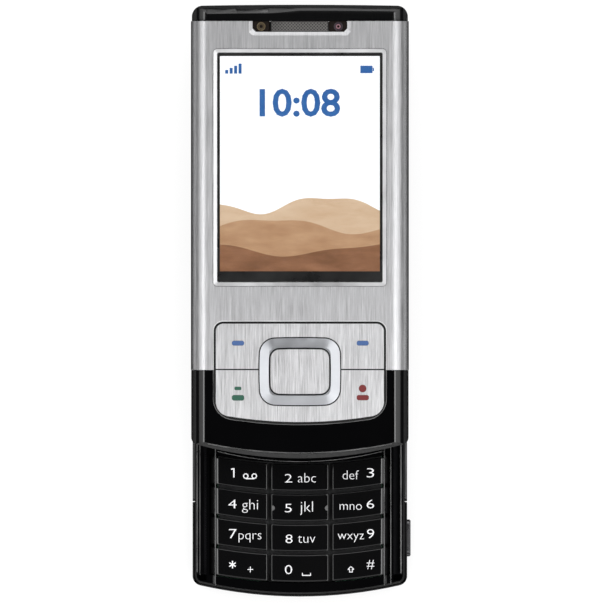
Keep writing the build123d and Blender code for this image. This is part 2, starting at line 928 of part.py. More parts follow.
def display_window():
    """Clear window: a pad that fills the opening, on a wider flange glued behind the steel."""
    centre = (window_low + window_high) / 2
    width = 2 * window_half
    height = window_high - window_low
    pad = RectangleRounded(width - 2 * seat_gap, height - 2 * seat_gap, window_corner)
    flange = Rectangle(width + 2 * window_flange, height + 2 * window_flange)
    top = slider_front - window_sink - 0.15
    body = prism(Pos(0, centre) * flange, window_shelf, frame_top)
    return body + prism(Pos(0, centre) * pad, frame_top, top)


# ---------------------------------------------------------------- slider: earpiece, sensor, camera


def tile(span, low, high):
    """Tile in the notch, its outer corners cut off like the notch's."""
    reach = block(span, (tile_low, tile_high), (low, high))
    return reach & prism(notch_plan(-seat_gap), low, high)


def earpiece_mesh():
    """Woven mesh in a folded rim."""
    sheet = tile(mesh_span, tile_top - mesh_thickness, tile_top)
    rim = tile(mesh_span, tile_top - 1.2, tile_top - mesh_thickness)
    hollow = block(
        (mesh_span[0] + 0.3, mesh_span[1] - 0.3),
        (tile_low + 0.3, tile_high - 0.3),
        (tile_top - 2, tile_top - mesh_thickness),
    )
    return sheet + (rim - hollow)


def earpiece_speaker():
    """Oval receiver capsule below the mesh."""
    top = tile_top - 1.3
    body = cut_rectangle(receiver_length, receiver_width, receiver_cut)
    seat = Pos(0, (tile_low + tile_high) / 2 - 0.35)
    capsule = prism(seat * body, frame_web_high + 0.1, top - 0.2)
    face = cut_rectangle(receiver_face_length, receiver_face_width, receiver_cut - 0.3)
    return capsule + prism(seat * face, top - 0.2, top)


def light_sensor():
    """Ambient-light sensor: dark tile with a recessed lens."""
    body = tile(sensor_tile, tile_top - 1.6, tile_top)
    body = body - post(sensor_x, lens_line, tile_top - 0.25, tile_top + 1, 0.85)
    return body + post(sensor_x, lens_line, tile_top - 0.3, tile_top - 0.1, 0.6)


def front_camera():
    """Camera for video calls: tile, recessed cone and lens, module body below."""
    body = tile(camera_tile, tile_top - 1.6, tile_top)
    cone_depth = 0.4
    cone = Pos(camera_x, lens_line, tile_top - cone_depth / 2 + 0.01) * Cone(0.45, 0.8, cone_depth + 0.02)
    body = body - cone
    barrel = peg(camera_x, lens_line, frame_web_high + 0.6, tile_top - 1.6, 1.0)
    return body + barrel


# ---------------------------------------------------------------- slider: function keys


def ring_outline(grow=0.0):
    return bulged_plan(ring_half_x + grow, ring_half_y + grow, ring_bulge, ring_corner + grow, ring_centre)


def select_outline(grow=0.0):
    return bulged_plan(
        select_half_x + grow, select_half_y + grow, select_bulge, select_corner + grow, ring_centre
    )


def key_plate(y_low, y_high, dome_y):
    """One rocking plate with a key at each end, cut out around the ring, hooked under the covers."""
    keep = block((-BIG, BIG), (y_low, y_high), (-BIG, BIG))
    ring_hole = prism(ring_outline(ring_gap), slider_floor, slider_front + 1)
    cap = prism(key_panel(-key_gap), flange_top, plate_top)
    hook = prism(key_panel(plate_flange - 0.05), flange_bottom, flange_top)
    body = (cap + hook) & keep - ring_hole
    for side in (-1, 1):
        body = body + peg(side * dome_x, dome_y, plunger_bottom, plate_bottom + 0.1, plunger_radius)
    return body


def soft_key_plate():
    return key_plate(split_line + split_gap / 2, BIG, soft_dome_y)


def call_key_plate():
    return key_plate(-BIG, split_line - split_gap / 2, call_dome_y)


def nav_ring():
    """Satin ring: straight skirt and one slope up to the select key; two feet below."""
    body = prism(ring_outline(), ring_bottom, ring_crest)
    top = body.faces().sort_by(Axis.Z)[-1]
    run = min(ring_half_x - select_half_x, ring_half_y - select_half_y) - select_gap - ring_land
    body = chamfer(top.edges(), run, ring_slope_rise, reference=top)
    ring = body - prism(select_outline(select_gap), ring_bottom - 1, ring_crest + 1)
    y_range = (ring_centre - foot_half, ring_centre + foot_half)
    foot = block((foot_inner, foot_outer), y_range, (nav_floor, ring_bottom + 0.1))
    return ring + foot + mirrored(foot)


def nav_carrier():
    """Rocking actuator frame under the ring, with slots for the ring's feet."""
    seat = Pos(0, ring_centre)
    outer = cut_rectangle(2 * ring_half_x - 1.0, 2 * ring_half_y - 1.0, ring_corner / 2)
    inner = cut_rectangle(2 * (select_half_x + select_gap), 2 * (select_half_y + select_gap), select_corner / 3)
    body = prism(seat * outer, nav_floor, carrier_top) - prism(seat * inner, nav_floor - 1, carrier_top + 1)
    y_range = (ring_centre - foot_half - foot_gap, ring_centre + foot_half + foot_gap)
    slot = block((foot_inner - foot_gap, foot_outer + foot_gap), y_range, (nav_floor - 1, carrier_top + 1))
    return body - slot - mirrored(slot)


def select_key():
    """Select key: brushed cap with a fine bevel on a central stem."""
    top = ring_crest - select_sink
    bottom = carrier_top - 0.1
    body = prism(select_outline(), bottom, top)
    rim = body.edges().group_by(Axis.Z)[-1]
    body = chamfer(rim, 0.18)
    return body + peg(0, ring_centre, select_stem_bottom, bottom, plunger_radius)


def ui_board():
    """Function-key board."""
    board = prism(ui_outline(plate_flange + key_gap - 0.15), ui_board_bottom, ui_board_top)
    connector = block((-flex_plug_half, flex_plug_half), (flex_board_y - 1, flex_board_y + 1), (frame_web_high + 0.02, ui_board_bottom))
    return board + connector


def snap_dome(x, y, level):
    """Four-legged snap dome: a thin disc that stands on the corners of its sheet."""
    return peg(x, y, level, level + dome_height, dome_foot_radius)


def ui_key_mat():
    """Silicone mat with one pad under each function key and each direction of the ring."""
    sheet = prism(ui_outline(plate_flange), ui_board_top + seat_gap, ui_sheet_top)
    for side in (-1, 1):
        for y in (soft_dome_y, call_dome_y):
            sheet = sheet + peg(side * dome_x, y, ui_sheet_top, plunger_bottom, plunger_radius + 0.3)
        sheet = sheet + peg(side * nav_dome_x, ring_centre, ui_sheet_top, nav_floor, plunger_radius * 0.5)
        sheet = sheet + peg(0, ring_centre + side * nav_dome_y, ui_sheet_top, nav_floor, plunger_radius * 0.6)
    return sheet + peg(0, ring_centre, ui_sheet_top, select_stem_bottom, plunger_radius + 0.3)


# ---------------------------------------------------------------- slider: screws


def slider_screw_places():
    return [(side * slider_screw_x, slider_screw_y) for side in (-1, 1)]


def screw_hole(x, y):
    """Stepped hole for a pan-head screw in the rear cover."""
    through = peg(x, y, slider_floor - 1, slider_floor + 3, screw_radius + seat_gap)
    return through + peg(x, y, slider_floor - 1, slider_floor + screw_head, screw_head_radius + seat_gap, screw_sides)


def slider_screws():
    """Screws that hold the rear cover to the frame."""
    screws = []
    for x, y in slider_screw_places():
        head = peg(x, y, slider_floor + 0.03, slider_floor + screw_head, screw_head_radius, screw_sides)
        screws.append(head + peg(x, y, slider_floor + screw_head, frame_bottom + screw_length - 0.1, screw_radius))
    return group(screws)


# ---------------------------------------------------------------- base: keypad frame


def keypad_area(half, low, high):
    """Plan of the keypad between two bowed lines that follow the key rows."""
    face = Pos(0, (low + high) / 2 + row_arc / 8) * Rectangle(2 * half, high - low + row_arc / 4)
    face = face & Pos(0, low + row_arc) * Circle(row_arc)
    return face - Pos(0, high + row_arc) * Circle(row_arc)


def keypad_block(top):
    """Raised block with rounded shoulders that the keys and the lip are cut from."""
    section = Pos(0, (board_bottom + top) / 2) * Rectangle(2 * block_half, top - board_bottom)
    section = fillet(section.vertices().sort_by(Axis.Y)[-2:], block_shoulder)
    return extrude(Plane.XZ * section, amount=BIG, both=True)


def groove_cut():
    """Rail groove with its rounded lower outer corner."""
    x_low = groove_inner
    x_high = groove_inner + groove_width
    high = runner_start + runner_length + 0.9
    plan = Pos(groove_middle, (groove_low + high) / 2) * Rectangle(groove_width, high - groove_low)
    corner = [v for v in plan.vertices() if v.X > (x_low + x_high) / 2 and v.Y < 0]
    return prism(fillet(corner, groove_round), rail_floor, base_front + 1)


def keypad_frame():
    """Front of the base: rail strips, the opening for the keys, the lip below them, the upper plate."""
    shape = BASE.inset(cover_wall + seat_gap, -BIG / 2, -BIG / 2)
    outer = prism(shape.plan(), board_bottom, base_front)
    rim = outer.edges().group_by(Axis.Z)[-1]
    outer = chamfer(rim, 0.4)
    lip = prism(shape.plan(), base_front - 1.0, BIG) & keypad_block(lip_top) & band(-BIG, keys_low + 3)
    lip = lip & prism(shape.inset(0.5, 0, 0).plan(), 0, BIG)
    body = outer + lip
    body = body - prism(keypad_area(block_half + 0.12, keys_low - key_side_gap, keys_high + 0.3), 0, BIG)
    body = body - block(
        (-board_half - 0.2, board_half + 0.2),
        (board_low - 0.2, board_high + 0.2),
        (board_bottom - 1, base_front - frame_roof),
    ) + keypad_lip_wall(shape)
    body = body - both_sides(groove_cut())
    body = body - spring_seats() - block(
        (-flex_width / 2 - 0.4, flex_width / 2 + 0.4), (flex_low_y - 0.3, flex_low_y + 1.2), (0, BIG)
    )
    for x, y in base_screw_places():
        body = body - peg(x, y, board_bottom - 1, base_front - 0.6, screw_radius + seat_gap)
    return body


def keypad_lip_wall(shape):
    """Wall between the last key row and the bottom end."""
    wall = keypad_area(board_half + 0.3, base_low - row_arc / 20, keys_low - key_side_gap - 0.35)
    return prism(wall & shape.plan(), board_top + 0.1, base_front - frame_roof + 0.1)


def spring_seats():
    """Shallow pockets for the coils of the slide springs."""
    pockets = []
    for side in (-1, 1):
        pockets.append(peg(side * spring_x, spring_base_y, base_front - 0.3, base_front + 1, 1.1))
    return group(pockets)


def guide_rails():
    """Two C-section rails, mouths towards the slider."""
    x = groove_middle
    half = groove_width / 2 - 0.02
    y_range = (groove_low + groove_round, runner_start + runner_length + 0.8)
    rail = block((x - half, x + half), y_range, (rail_floor + 0.02, rail_top))
    inner = groove_width / 2 - rail_wall
    channel = block((x - inner, x + inner), (-BIG, BIG), (rail_floor + rail_wall, rail_top - rail_wall))
    mouth_half = runner_stem / 2 + run_gap
    mouth = block((x - mouth_half, x + mouth_half), (-BIG, BIG), (rail_top - 1, rail_top + 1))
    return both_sides(rail - channel - mouth)


# ---------------------------------------------------------------- base: keys


def row_centre(row):
    return first_row - row * key_pitch


def cap_between(x_low, x_high):
    """Key cap of a row at y = 0: bowed upper and lower edges, rounded over the block's shoulder."""
    row = keypad_area(block_half, -key_height / 2, key_height / 2)
    face = row & Pos((x_low + x_high) / 2, 0) * Rectangle(x_high - x_low, BIG)
    cap = prism(face, key_bottom, key_top) & keypad_block(key_top)
    return chamfer(upper_rim(cap), key_edge)


def key_cap(row, column):
    """One key; all rows are alike, and the outer columns mirror each other."""
    if column == 1:
        cap = cap_between(-middle_half, middle_half)
    else:
        cap = cap_between(key_side_inner, block_half)
    if column == 0:
        cap = mirrored(cap)
    return Pos(0, row_centre(row), 0) * cap


def upper_rim(cap):
    """Edges where a key's top and rounded shoulder meet its side walls."""
    shoulder_line = block_half - block_shoulder
    rim = []
    for edge in cap.edges():
        middle = edge.center()
        level = min(vertex.Z for vertex in edge.vertices())
        upright = abs(edge.tangent_at(0.5).Z) > 0.99
        tangent_line = abs(abs(middle.X) - shoulder_line) < key_edge / 4
        if level > key_top - key_edge / 4 and not upright and not tangent_line:
            rim.append(edge)
    return rim


def key_five():
    """The middle key, with a half-round finger mark at each side."""
    key = key_cap(1, 1)
    y = row_centre(1)
    for side in (-1, 1):
        nub = post(side * (middle_half - key_edge), y, key_top - 0.1, key_top + nub_height, nub_radius)
        inside = block((-middle_half + key_edge, middle_half - key_edge), (-BIG, BIG), (0, BIG))
        key = key + (nub & inside)
    return key


def key_places():
    """Centre of each key: row, column, x and y."""
    places = []
    for row in range(key_rows):
        for column in range(3):
            x = (column - 1) * (block_half + key_side_inner) / 2
            places.append((row, column, x, row_centre(row) + x * x / (2 * row_arc)))
    return places


def keypad_dome_sheet():
    """Sheet of twelve snap domes on the board."""
    sheet = prism(keypad_area(board_half - 0.2, mat_low, mat_high), key_sheet_bottom, key_sheet_top)
    for _, _, x, y in key_places():
        sheet = sheet + snap_dome(x, y, key_sheet_top)
    return sheet


def keypad_mat():
    """Silicone mat: a plunger over each dome and a pad under each key."""
    mat = prism(keypad_area(board_half - 0.2, mat_low, mat_high), mat_bottom, mat_top)
    for _, _, x, y in key_places():
        mat = mat + peg(x, y, plunger_end, mat_bottom, plunger_radius)
        pad = Pos(x, y) * Rectangle(mat_pad_width, mat_pad_height)
        mat = mat + prism(pad, mat_top, key_bottom)
    return mat


# ---------------------------------------------------------------- base: housing, cover, camera panel
def base_housing():
    """Lower housing: flush bottom end, side walls inside the steel, mid plate, battery bay, top bay."""
    outer = BASE.solid()
    end = outer & band(-BIG, cover_low - butt_gap)
    narrow = BASE.hollow(cover_wall + seat_gap, cover_wall + seat_gap, side_top - board_bottom + seat_gap).solid()
    middle = narrow & band(cover_low - 1, panel_start)
    top_form = BASE.hollow(panel_wall + seat_gap, panel_wall + seat_gap, side_top - board_bottom + seat_gap)
    top = top_form.solid() & band(panel_start - 1, BIG)
    frame_space = prism(BASE.inset(cover_wall, -BIG / 2, -BIG / 2).plan(), board_bottom - seat_gap, BIG)
    body = end - frame_space + middle + top
    body = body - end_slope()
    body = body - battery_bay() - top_bay() - bottom_bay()
    body = body - block(
        (-board_half - 0.2, board_half + 0.2),
        (board_low - 0.2, board_high + 0.2),
        (board_bottom - 0.3, BIG),
    )
    body = body - latch_cut() - side_key_slots() - side_key_pockets() - socket_seats()
    for x, y in base_screw_places():
        body = body - peg(x, y, -1, BIG, screw_radius + seat_gap)
        body = body - peg(x, y, -1, board_bottom - 1.2, screw_head_radius + seat_gap, screw_sides)
    return body


def end_slope():
    """Sloping shoulder that lets the steel cover's lower edge swing out."""
    slack = 0.55
    face = make_face(Polyline(
        (cover_low - butt_gap, 0), (cover_low - slack, side_top + 1), (cover_low + 1, side_top + 1),
        (cover_low + 1, 0), close=True,
    ))
    wedge = extrude(Plane.YZ * face, amount=BIG, both=True)
    inner = BASE.inset(cover_wall + seat_gap, -1.0, -2.0).bar()
    return wedge - inner


def battery_bay():
    """Bay for the battery, open to the back."""
    half = battery_half + 0.3
    y_range = (battery_low - 0.3, battery_high + 1.6)
    return block((-half, half), y_range, (-1, cover_wall + battery_thickness + 0.35))


def top_bay():
    """Bay behind the camera panel for camera, loudspeaker and motor."""
    half = board_half - 0.1
    return block((-half, half), (panel_start + 1.6, base_high - 2.2), (-1, BIG))


def bottom_bay():
    """Closed bay in the bottom end for the antenna."""
    half = board_half - 0.1
    return block((-half, half), (base_low + 3.0, cover_low - 2.6), (housing_wall, BIG))


def back_cover():
    """Steel back cover with its two side flanges."""
    shell = BASE.solid() - BASE.inset(cover_wall, cover_wall, -1.0).bar()
    cover = shell & band(cover_low, panel_start - butt_gap, -1, cover_edge)
    return cover - cover_end_slope()


def cover_end_slope():
    """Slope of the flanges' lower ends."""
    slack = 0.5
    face = make_face(Polyline(
        (cover_low, base_back_round), (cover_low + slack, side_top), (cover_low - 1, side_top),
        (cover_low - 1, base_back_round), close=True,
    ))
    return extrude(Plane.YZ * face, amount=BIG, both=True)


def camera_panel():
    """Glossy panel that closes the upper end of the base and frames the camera."""
    outer = BASE.solid() & band(panel_start, BIG)
    hollow = BASE.hollow(panel_wall, panel_wall, -1.0).solid()
    frame_space = prism(BASE.inset(cover_wall, -BIG / 2, -BIG / 2).plan(), board_bottom - seat_gap, BIG)
    body = outer - hollow - frame_space
    body = body - post(lens_x, lens_y, -1, panel_wall + 1, window_radius + seat_gap)
    body = body - post(flash_x, lens_y, -1, panel_wall + 1, flash_radius + seat_gap)
    body = body - post(flash_x + flash_pitch, lens_y, -1, panel_wall + 1, flash_radius + seat_gap)
    for index in range(speaker_slots):
        x = speaker_x + (index - (speaker_slots - 1) / 2) * speaker_slot_pitch
        slot = Pos(x, speaker_y) * Rectangle(speaker_slot_width, speaker_slot_length)
        body = body - prism(slot, -1, panel_wall + 1)
    return body - side_key_slots() - socket_openings()


def socket_barrel(x, low, high, radius):
    """Eight-sided barrel around a socket."""
    return along_y(Pos(x, socket_level) * RegularPolygon(radius, 8), low, high)


def socket_seats():
    """Seats of the charging and headset sockets in the housing's top end."""
    grow = socket_wall + 2 * seat_gap
    charging = socket_barrel(-socket_x, socket_start, base_high + 1, charging_radius + grow)
    return charging + socket_barrel(socket_x, socket_start, base_high + 1, headset_radius + grow)


def socket_openings():
    """Round openings for the two sockets in the panel's top end."""
    grow = socket_wall + seat_gap
    charging = rod_y(-socket_x, socket_start, base_high + 1, socket_level, charging_radius + grow)
    return charging + rod_y(socket_x, socket_start, base_high + 1, socket_level, headset_radius + grow)


# ---------------------------------------------------------------- base: latch and side keys


def latch_cut():
    """Recess for the latch button in the back of the bottom end, with room for its travel."""
    x_range = (-latch_half - 0.15, latch_half + 0.15)
    y_range = (latch_low - latch_travel - 0.15, latch_high + 0.15)
    return block(x_range, y_range, (-1, latch_depth + seat_gap))


def cover_latch():
    """Sliding latch button for the back cover."""
    button = block((-latch_half, latch_half), (latch_low, latch_high), (latch_sink, latch_depth))
    ridges = button.edges().filter_by(Axis.X).group_by(Axis.Z)[0]
    return chamfer(ridges, 0.1)


def side_outline(centre, length, height, gap=0.0):
    """Rounded bar outline on the right side, seen along X."""
    return Pos(centre, rocker_level) * SlotOverall(length + 2 * gap, height + 2 * gap)


def side_flange(x_range, centre, length, height, gap=0.0):
    """Flat flange of a side key, longer than the key at both ends, or its pocket with a gap around."""
    half_y = length / 2 + side_key_flange + gap
    half_z = height / 2 + gap
    y_range = (centre - half_y, centre + half_y)
    return block(x_range, y_range, (rocker_level - half_z, rocker_level + half_z))


def side_key(centre, length, height, proud, edge):
    """Side key: a rounded bar through the wall, on a flange that keeps it in."""
    bar = extrude(Plane.YZ * side_outline(centre, length, height), amount=base_half + proud - flange_face)
    bar = Pos(flange_face, 0, 0) * bar
    bar = chamfer(bar.faces().sort_by(Axis.X)[-1].edges(), edge)
    return bar + side_flange((flange_face - flange_depth, flange_face), centre, length, height)


def volume_rocker():
    """Volume rocker."""
    return side_key(rocker_centre, rocker_length, rocker_height, rocker_proud, 0.12)


def camera_key():
    """Camera key, standing proud near the bottom of the right side."""
    return side_key(camera_key_centre, camera_key_length, camera_key_height, camera_key_proud, 0.25)


def power_outline(grow=0.0):
    """Outline of the power key, seen along Y."""
    return Pos(0, power_key_level) * SlotOverall(2 * (power_key_half + grow), power_key_height + 2 * grow)


def power_flange(y_range, gap=0.0):
    """Flat flange of the power key, or its pocket with a gap around."""
    half_x = power_key_half + side_key_flange + gap
    half_z = power_key_height / 2 + side_key_flange + gap
    return block((-half_x, half_x), y_range, (power_key_level - half_z, power_key_level + half_z))


def power_key():
    """Power key in the top end, on a flange behind the wall."""
    face = base_high - panel_wall - 0.2
    key = along_y(power_outline(), face, base_high + power_key_proud)
    key = chamfer(key.faces().sort_by(Axis.Y)[-1].edges(), 0.15)
    return key + power_flange((face - flange_depth, face))


def side_key_slots():
    """Slots in the walls for the three side keys."""
    rocker = side_outline(rocker_centre, rocker_length, rocker_height, side_key_gap)
    camera = side_outline(camera_key_centre, camera_key_length, camera_key_height, side_key_gap)
    slots = extrude(Plane.YZ * rocker, amount=OVERCUT + 2) + extrude(Plane.YZ * camera, amount=OVERCUT + 2)
    slots = Pos(pocket_wall - 1, 0, 0) * slots
    return slots + along_y(power_outline(side_key_gap), base_high - 2, base_high + 2)


def side_key_pockets():
    """Pockets behind the walls for the flanges of the side keys."""
    rocker_reach = (pocket_depth, pocket_wall + 1)
    camera_reach = (pocket_depth, pocket_wall)
    rocker = side_flange(rocker_reach, rocker_centre, rocker_length, rocker_height, side_key_gap)
    camera = side_flange(camera_reach, camera_key_centre, camera_key_length, camera_key_height, side_key_gap)
    power = power_flange((base_high - 4, base_high - panel_wall - seat_gap), side_key_gap)
    return rocker + camera + power


# ---------------------------------------------------------------- base: boards and inner pieces
def main_board():
    """Main board with the side switches and the keypad contacts."""
    board = block((-board_half, board_half), (board_low, board_high), (board_bottom + 0.02, board_top))
    notch = board_half - 0.4
    board = board - block((-notch, notch), (board_low - 1, board_low + 1.2), (0, BIG))
    return board


def shield_cans():
    """Two pressed shield cans on the back of the board."""
    cans = []
    start = panel_start + can_from_panel
    for y_low in (start, start + can_lengths[0] + can_spacing):
        y_high = y_low + can_lengths[len(cans)]
        outer = block((can_low, can_high), (y_low, y_high), (board_bottom - can_height, board_bottom))
        inner_x = (can_low + can_sheet, can_high - can_sheet)
        inner_y = (y_low + can_sheet, y_high - can_sheet)
        cans.append(outer - block(inner_x, inner_y, (board_bottom - can_height + can_sheet, BIG)))
    return group(cans)


def battery():
    """Removable battery with rounded long edges."""
    floor = cover_wall + 0.15
    body = block((-battery_half, battery_half), (battery_low, battery_high), (floor, floor + battery_thickness))
    return fillet(body.edges().filter_by(Axis.Y), 0.6)


def battery_contacts():
    """Four flat sprung contacts in a block at the end of the battery bay."""
    y = battery_high + 0.1
    body = block((-5.0, 5.0), (y + 0.5, y + 1.4), (1.6, cover_wall + battery_thickness + 0.3))
    for index in range(4):
        x = (index - 1.5) * 2.2
        body = body + block((x - 0.4, x + 0.4), (y, y + 0.6), (2.2, 3.6))
    return body


def camera_module():
    """Main camera: square body with a round lens barrel facing the back."""
    body = block((lens_x - 4.6, lens_x + 4.6), (lens_y - 4.6, lens_y + 4.6), (2.4, board_bottom - 0.7))
    barrel = peg(lens_x, lens_y, 1.1, 2.4, lens_radius, 12)
    bore = Pos(lens_x, lens_y, 1.5) * Cone(2.3, 1.4, 0.82)
    return body + barrel - bore


def camera_window():
    """Round glass over the camera with a raised ring."""
    return post(lens_x, lens_y, 0.2, 0.2 + panel_wall - 0.1, window_radius)


def flash_leds():
    """Two flash diodes with domed lenses."""
    leds = []
    for x in (flash_x, flash_x + flash_pitch):
        body = post(x, lens_y, 0.25, 1.6, flash_radius)
        base = block((x - 1.45, x + 1.45), (lens_y - 1.45, lens_y + 1.45), (1.6, 2.2))
        leds.append(body + base)
    return group(leds)


def loudspeaker():
    """Loudspeaker behind the slots."""
    seat = Pos(speaker_x - speaker_offset, speaker_y)
    body = cut_rectangle(speaker_width, speaker_length, speaker_cut)
    face = cut_rectangle(speaker_width - 2 * speaker_rim, speaker_length - 2 * speaker_rim, speaker_cut - 0.2)
    front = prism(seat * face, panel_wall + seat_gap, speaker_step)
    return prism(seat * body, speaker_step, speaker_back) + front


def vibra_motor():
    """Vibrating motor with its eccentric weight."""
    motor_end = motor_x + motor_length
    weight_start = motor_end + weight_gap
    body = rod_x(motor_x, motor_end, motor_y, motor_level, motor_radius)
    shaft = rod_x(motor_end, weight_start + shaft_hold, motor_y, motor_level, shaft_radius)
    weight = rod_x(weight_start, weight_start + weight_length, motor_y, motor_level, weight_radius)
    return body + shaft + (weight & block((-BIG, BIG), (motor_y, BIG), (0, BIG)))


def antenna():
    """Antenna carrier in the bottom end, bowed like the end itself."""
    outline = bowed_plan(antenna_half, base_low + 3.4, base_low + 9.8, base_end_arc, 1.0, 1.0)
    body = prism(outline, housing_wall + 0.1, board_bottom - 0.5)
    hollow = prism(Pos(0, base_low + 6.8) * Rectangle(2 * antenna_half - 9.6, 2.4), housing_wall + 0.9, BIG)
    return body - hollow


def socket(x, radius):
    """Round socket with a blind bore facing the top end."""
    body = socket_barrel(x, socket_start, base_high - 0.5, radius + socket_wall)
    return body - rod_y(x, socket_start + 0.8, base_high + 1, socket_level, radius)


def sockets():
    """Charging and headset sockets."""
    return group([socket(-socket_x, charging_radius), socket(socket_x, headset_radius)])


# ---------------------------------------------------------------- slide springs and flex cable


def slide_springs():
    """Two over-centre springs: one flat coil each, with a leg to the base and a leg to the slider."""
    springs = []
    for side in (-1, 1):
        low = (side * spring_x, spring_base_y)
        high = (side * spring_x, spring_eye_y)
        centre_y = (low[1] + high[1]) / 2
        centre_x = side * (spring_x + spring_knee)
        path = Polyline(low, (centre_x, centre_y), high)
        strip = trace(path, spring_wire)
        coil = RegularPolygon(spring_coil, coil_sides) - RegularPolygon(spring_coil - spring_wire, coil_sides)
        coil = Pos(centre_x, centre_y) * coil
        flat = prism(strip + coil, spring_level, spring_level + spring_wire)
        pin = peg(low[0], low[1], base_front - 0.25, spring_level, 0.45)
        springs.append(flat + pin)
    return group(springs)


def slide_flex():
    """Flex cable: up from the base's board, folded once between the halves, then into the slider."""
    low_level = base_front + 0.12
    high_level = slider_floor - 0.14
    fold = (high_level - low_level) / 2
    entry = flex_slot_y + 0.7
    route = Polyline(
        (flex_low_y, board_top + 0.3),
        (flex_low_y, low_level),
        (flex_bend_y - fold, low_level),
        (flex_bend_y, low_level + fold / 2),
        (flex_bend_y, high_level - fold / 2),
        (flex_bend_y - fold, high_level),
        (entry, high_level),
        (entry, flex_inner_level),
        (flex_board_y, flex_inner_level),
        (flex_board_y, frame_web_high),
    )
    ribbon = trace(route, flex_thickness)
    return extrude(Plane.YZ * ribbon, amount=flex_width / 2, both=True)


# ---------------------------------------------------------------- base: screws


def base_screw_places():
    return [(side * base_screw_x, base_screw_y) for side in (-1, 1)]


def base_screws():
    """Screws that hold the housing to the keypad frame."""
    screws = []
    for x, y in base_screw_places():
        head = peg(x, y, board_bottom - 1.6, board_bottom - 1.25, screw_head_radius, screw_sides)
        screws.append(head + peg(x, y, board_bottom - 1.25, base_front - 0.7, screw_radius))
    return group(screws)


# ---------------------------------------------------------------- writing the parts
key_names = (
    ("key_1", "key_2", "key_3"),
    ("key_4", "key_5", "key_6"),
    ("key_7", "key_8", "key_9"),
    ("key_star", "key_0", "key_hash"),
)


def all_keys():
    keys = {}
    for row, names in enumerate(key_names):
        for column, name in enumerate(names):
            keys[name] = key_five() if name == "key_5" else key_cap(row, column)
    return keys


def build():
    """Every piece of the phone by its node name."""
    makers = (
        front_cover, top_cap, chin_cover, slider_frame, slider_back_cover, slide_plate,
        display_window, display_module, display_frame, earpiece_mesh, earpiece_speaker,
        light_sensor, front_camera, ui_board, ui_key_mat, slider_screws,
        soft_key_plate, call_key_plate, nav_carrier, nav_ring, select_key,
        keypad_frame, base_housing, guide_rails, keypad_mat, keypad_dome_sheet, main_board,
        shield_cans, battery, battery_contacts, camera_panel, camera_module, camera_window,
        flash_leds, loudspeaker, vibra_motor, antenna, sockets, slide_springs, slide_flex,
        base_screws, back_cover, cover_latch, volume_rocker, camera_key, power_key,
    )
    pieces = {maker.__name__: maker() for maker in makers}
    pieces["slide_runner_right"] = slide_runner()
    pieces["slide_runner_left"] = mirrored(slide_runner())
    pieces.update(all_keys())
    return pieces


os.makedirs("parts", exist_ok=True)
for node, piece in build().items():
    export_step(piece, f"parts/{node}.step")
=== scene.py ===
# %% [markdown]
# # A sliding phone, seen from straight above
# The phone lies open on a white table. Its upper half, in brushed steel with
# glossy black ends, has slid up and shows the black keypad of the lower half.
# The solid model comes first and stays as it is. Everything after it is light,
# finish and fine detail.

# %% Load the solid model
import math
from itertools import count

import bmesh
import bpy
from mathutils import Matrix, Vector


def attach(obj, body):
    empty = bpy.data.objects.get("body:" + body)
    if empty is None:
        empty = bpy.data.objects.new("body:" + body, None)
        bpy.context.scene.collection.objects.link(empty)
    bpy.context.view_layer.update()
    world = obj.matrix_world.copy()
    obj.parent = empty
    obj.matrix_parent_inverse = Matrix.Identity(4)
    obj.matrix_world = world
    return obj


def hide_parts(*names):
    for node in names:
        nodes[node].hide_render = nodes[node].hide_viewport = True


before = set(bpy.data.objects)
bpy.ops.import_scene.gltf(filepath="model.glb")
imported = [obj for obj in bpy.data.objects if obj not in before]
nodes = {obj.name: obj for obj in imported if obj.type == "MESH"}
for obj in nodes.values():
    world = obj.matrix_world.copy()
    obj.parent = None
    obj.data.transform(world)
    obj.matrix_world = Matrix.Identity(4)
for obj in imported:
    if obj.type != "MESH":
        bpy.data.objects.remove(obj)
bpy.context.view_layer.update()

mm = 0.001

# %% [markdown]
# ## The camera
# A real close-up lens bends straight edges a little, because the near parts
# look larger than the far ones. A very long lens from far away keeps the two
# halves of the phone at one scale, as in a catalogue picture. The distance
# follows from the lens, the film and how much of the table the picture takes in.

# %% Place the camera
picture_high, pixels_per_mm = 603, 4.69
table_seen = picture_high / pixels_per_mm * mm
middle_of_view = Vector((0.03, 14.8, 16.1)) * mm
camera_data = bpy.data.cameras.new("camera")
camera_data.lens, camera_data.sensor_width = 1200.0, 36.0
camera_data.clip_start, camera_data.clip_end = 0.1, 20.0
camera_distance = table_seen * camera_data.lens / camera_data.sensor_width
camera = bpy.data.objects.new("camera", camera_data)
camera.location = middle_of_view + Vector((0, 0, camera_distance))
bpy.context.scene.collection.objects.link(camera)
bpy.context.scene.camera = camera
print("camera", round(camera_distance, 3), "m above the front plate")

# %% [markdown]
# ## Shader helpers
# Every finish below starts in the same way: one Principled shader, and the
# object's own coordinates to place the pattern. Those are in metres, so a
# pattern is given its size in millimetres and keeps it on every piece. A few
# short functions save writing the same nodes again and again, and one list
# keeps every finish under its name.

# %% Helpers for nodes
finishes = {}


def add_node(tree, kind, inputs=(), **settings):
    made = tree.nodes.new("ShaderNode" + kind)
    for name, value in settings.items():
        setattr(made, name, value)
    for socket, value in dict(inputs).items():
        if isinstance(value, bpy.types.NodeSocket):
            tree.links.new(value, made.inputs[socket])
        else:
            made.inputs[socket].default_value = value
    return made


def new_finish(name, colour, roughness, **sockets):
    """Starts a finish, keeps it under its name and hands back its nodes and shader."""
    material = bpy.data.materials.new(name)
    material.use_nodes = True
    material.diffuse_color = (*colour, 1)
    finishes[name] = material
    shader = material.node_tree.nodes["Principled BSDF"]
    shader.inputs["Base Color"].default_value = (*colour, 1)
    shader.inputs["Roughness"].default_value = roughness
    for socket, value in sockets.items():
        shader.inputs[socket.replace("_", " ")].default_value = value
    return material.node_tree, shader


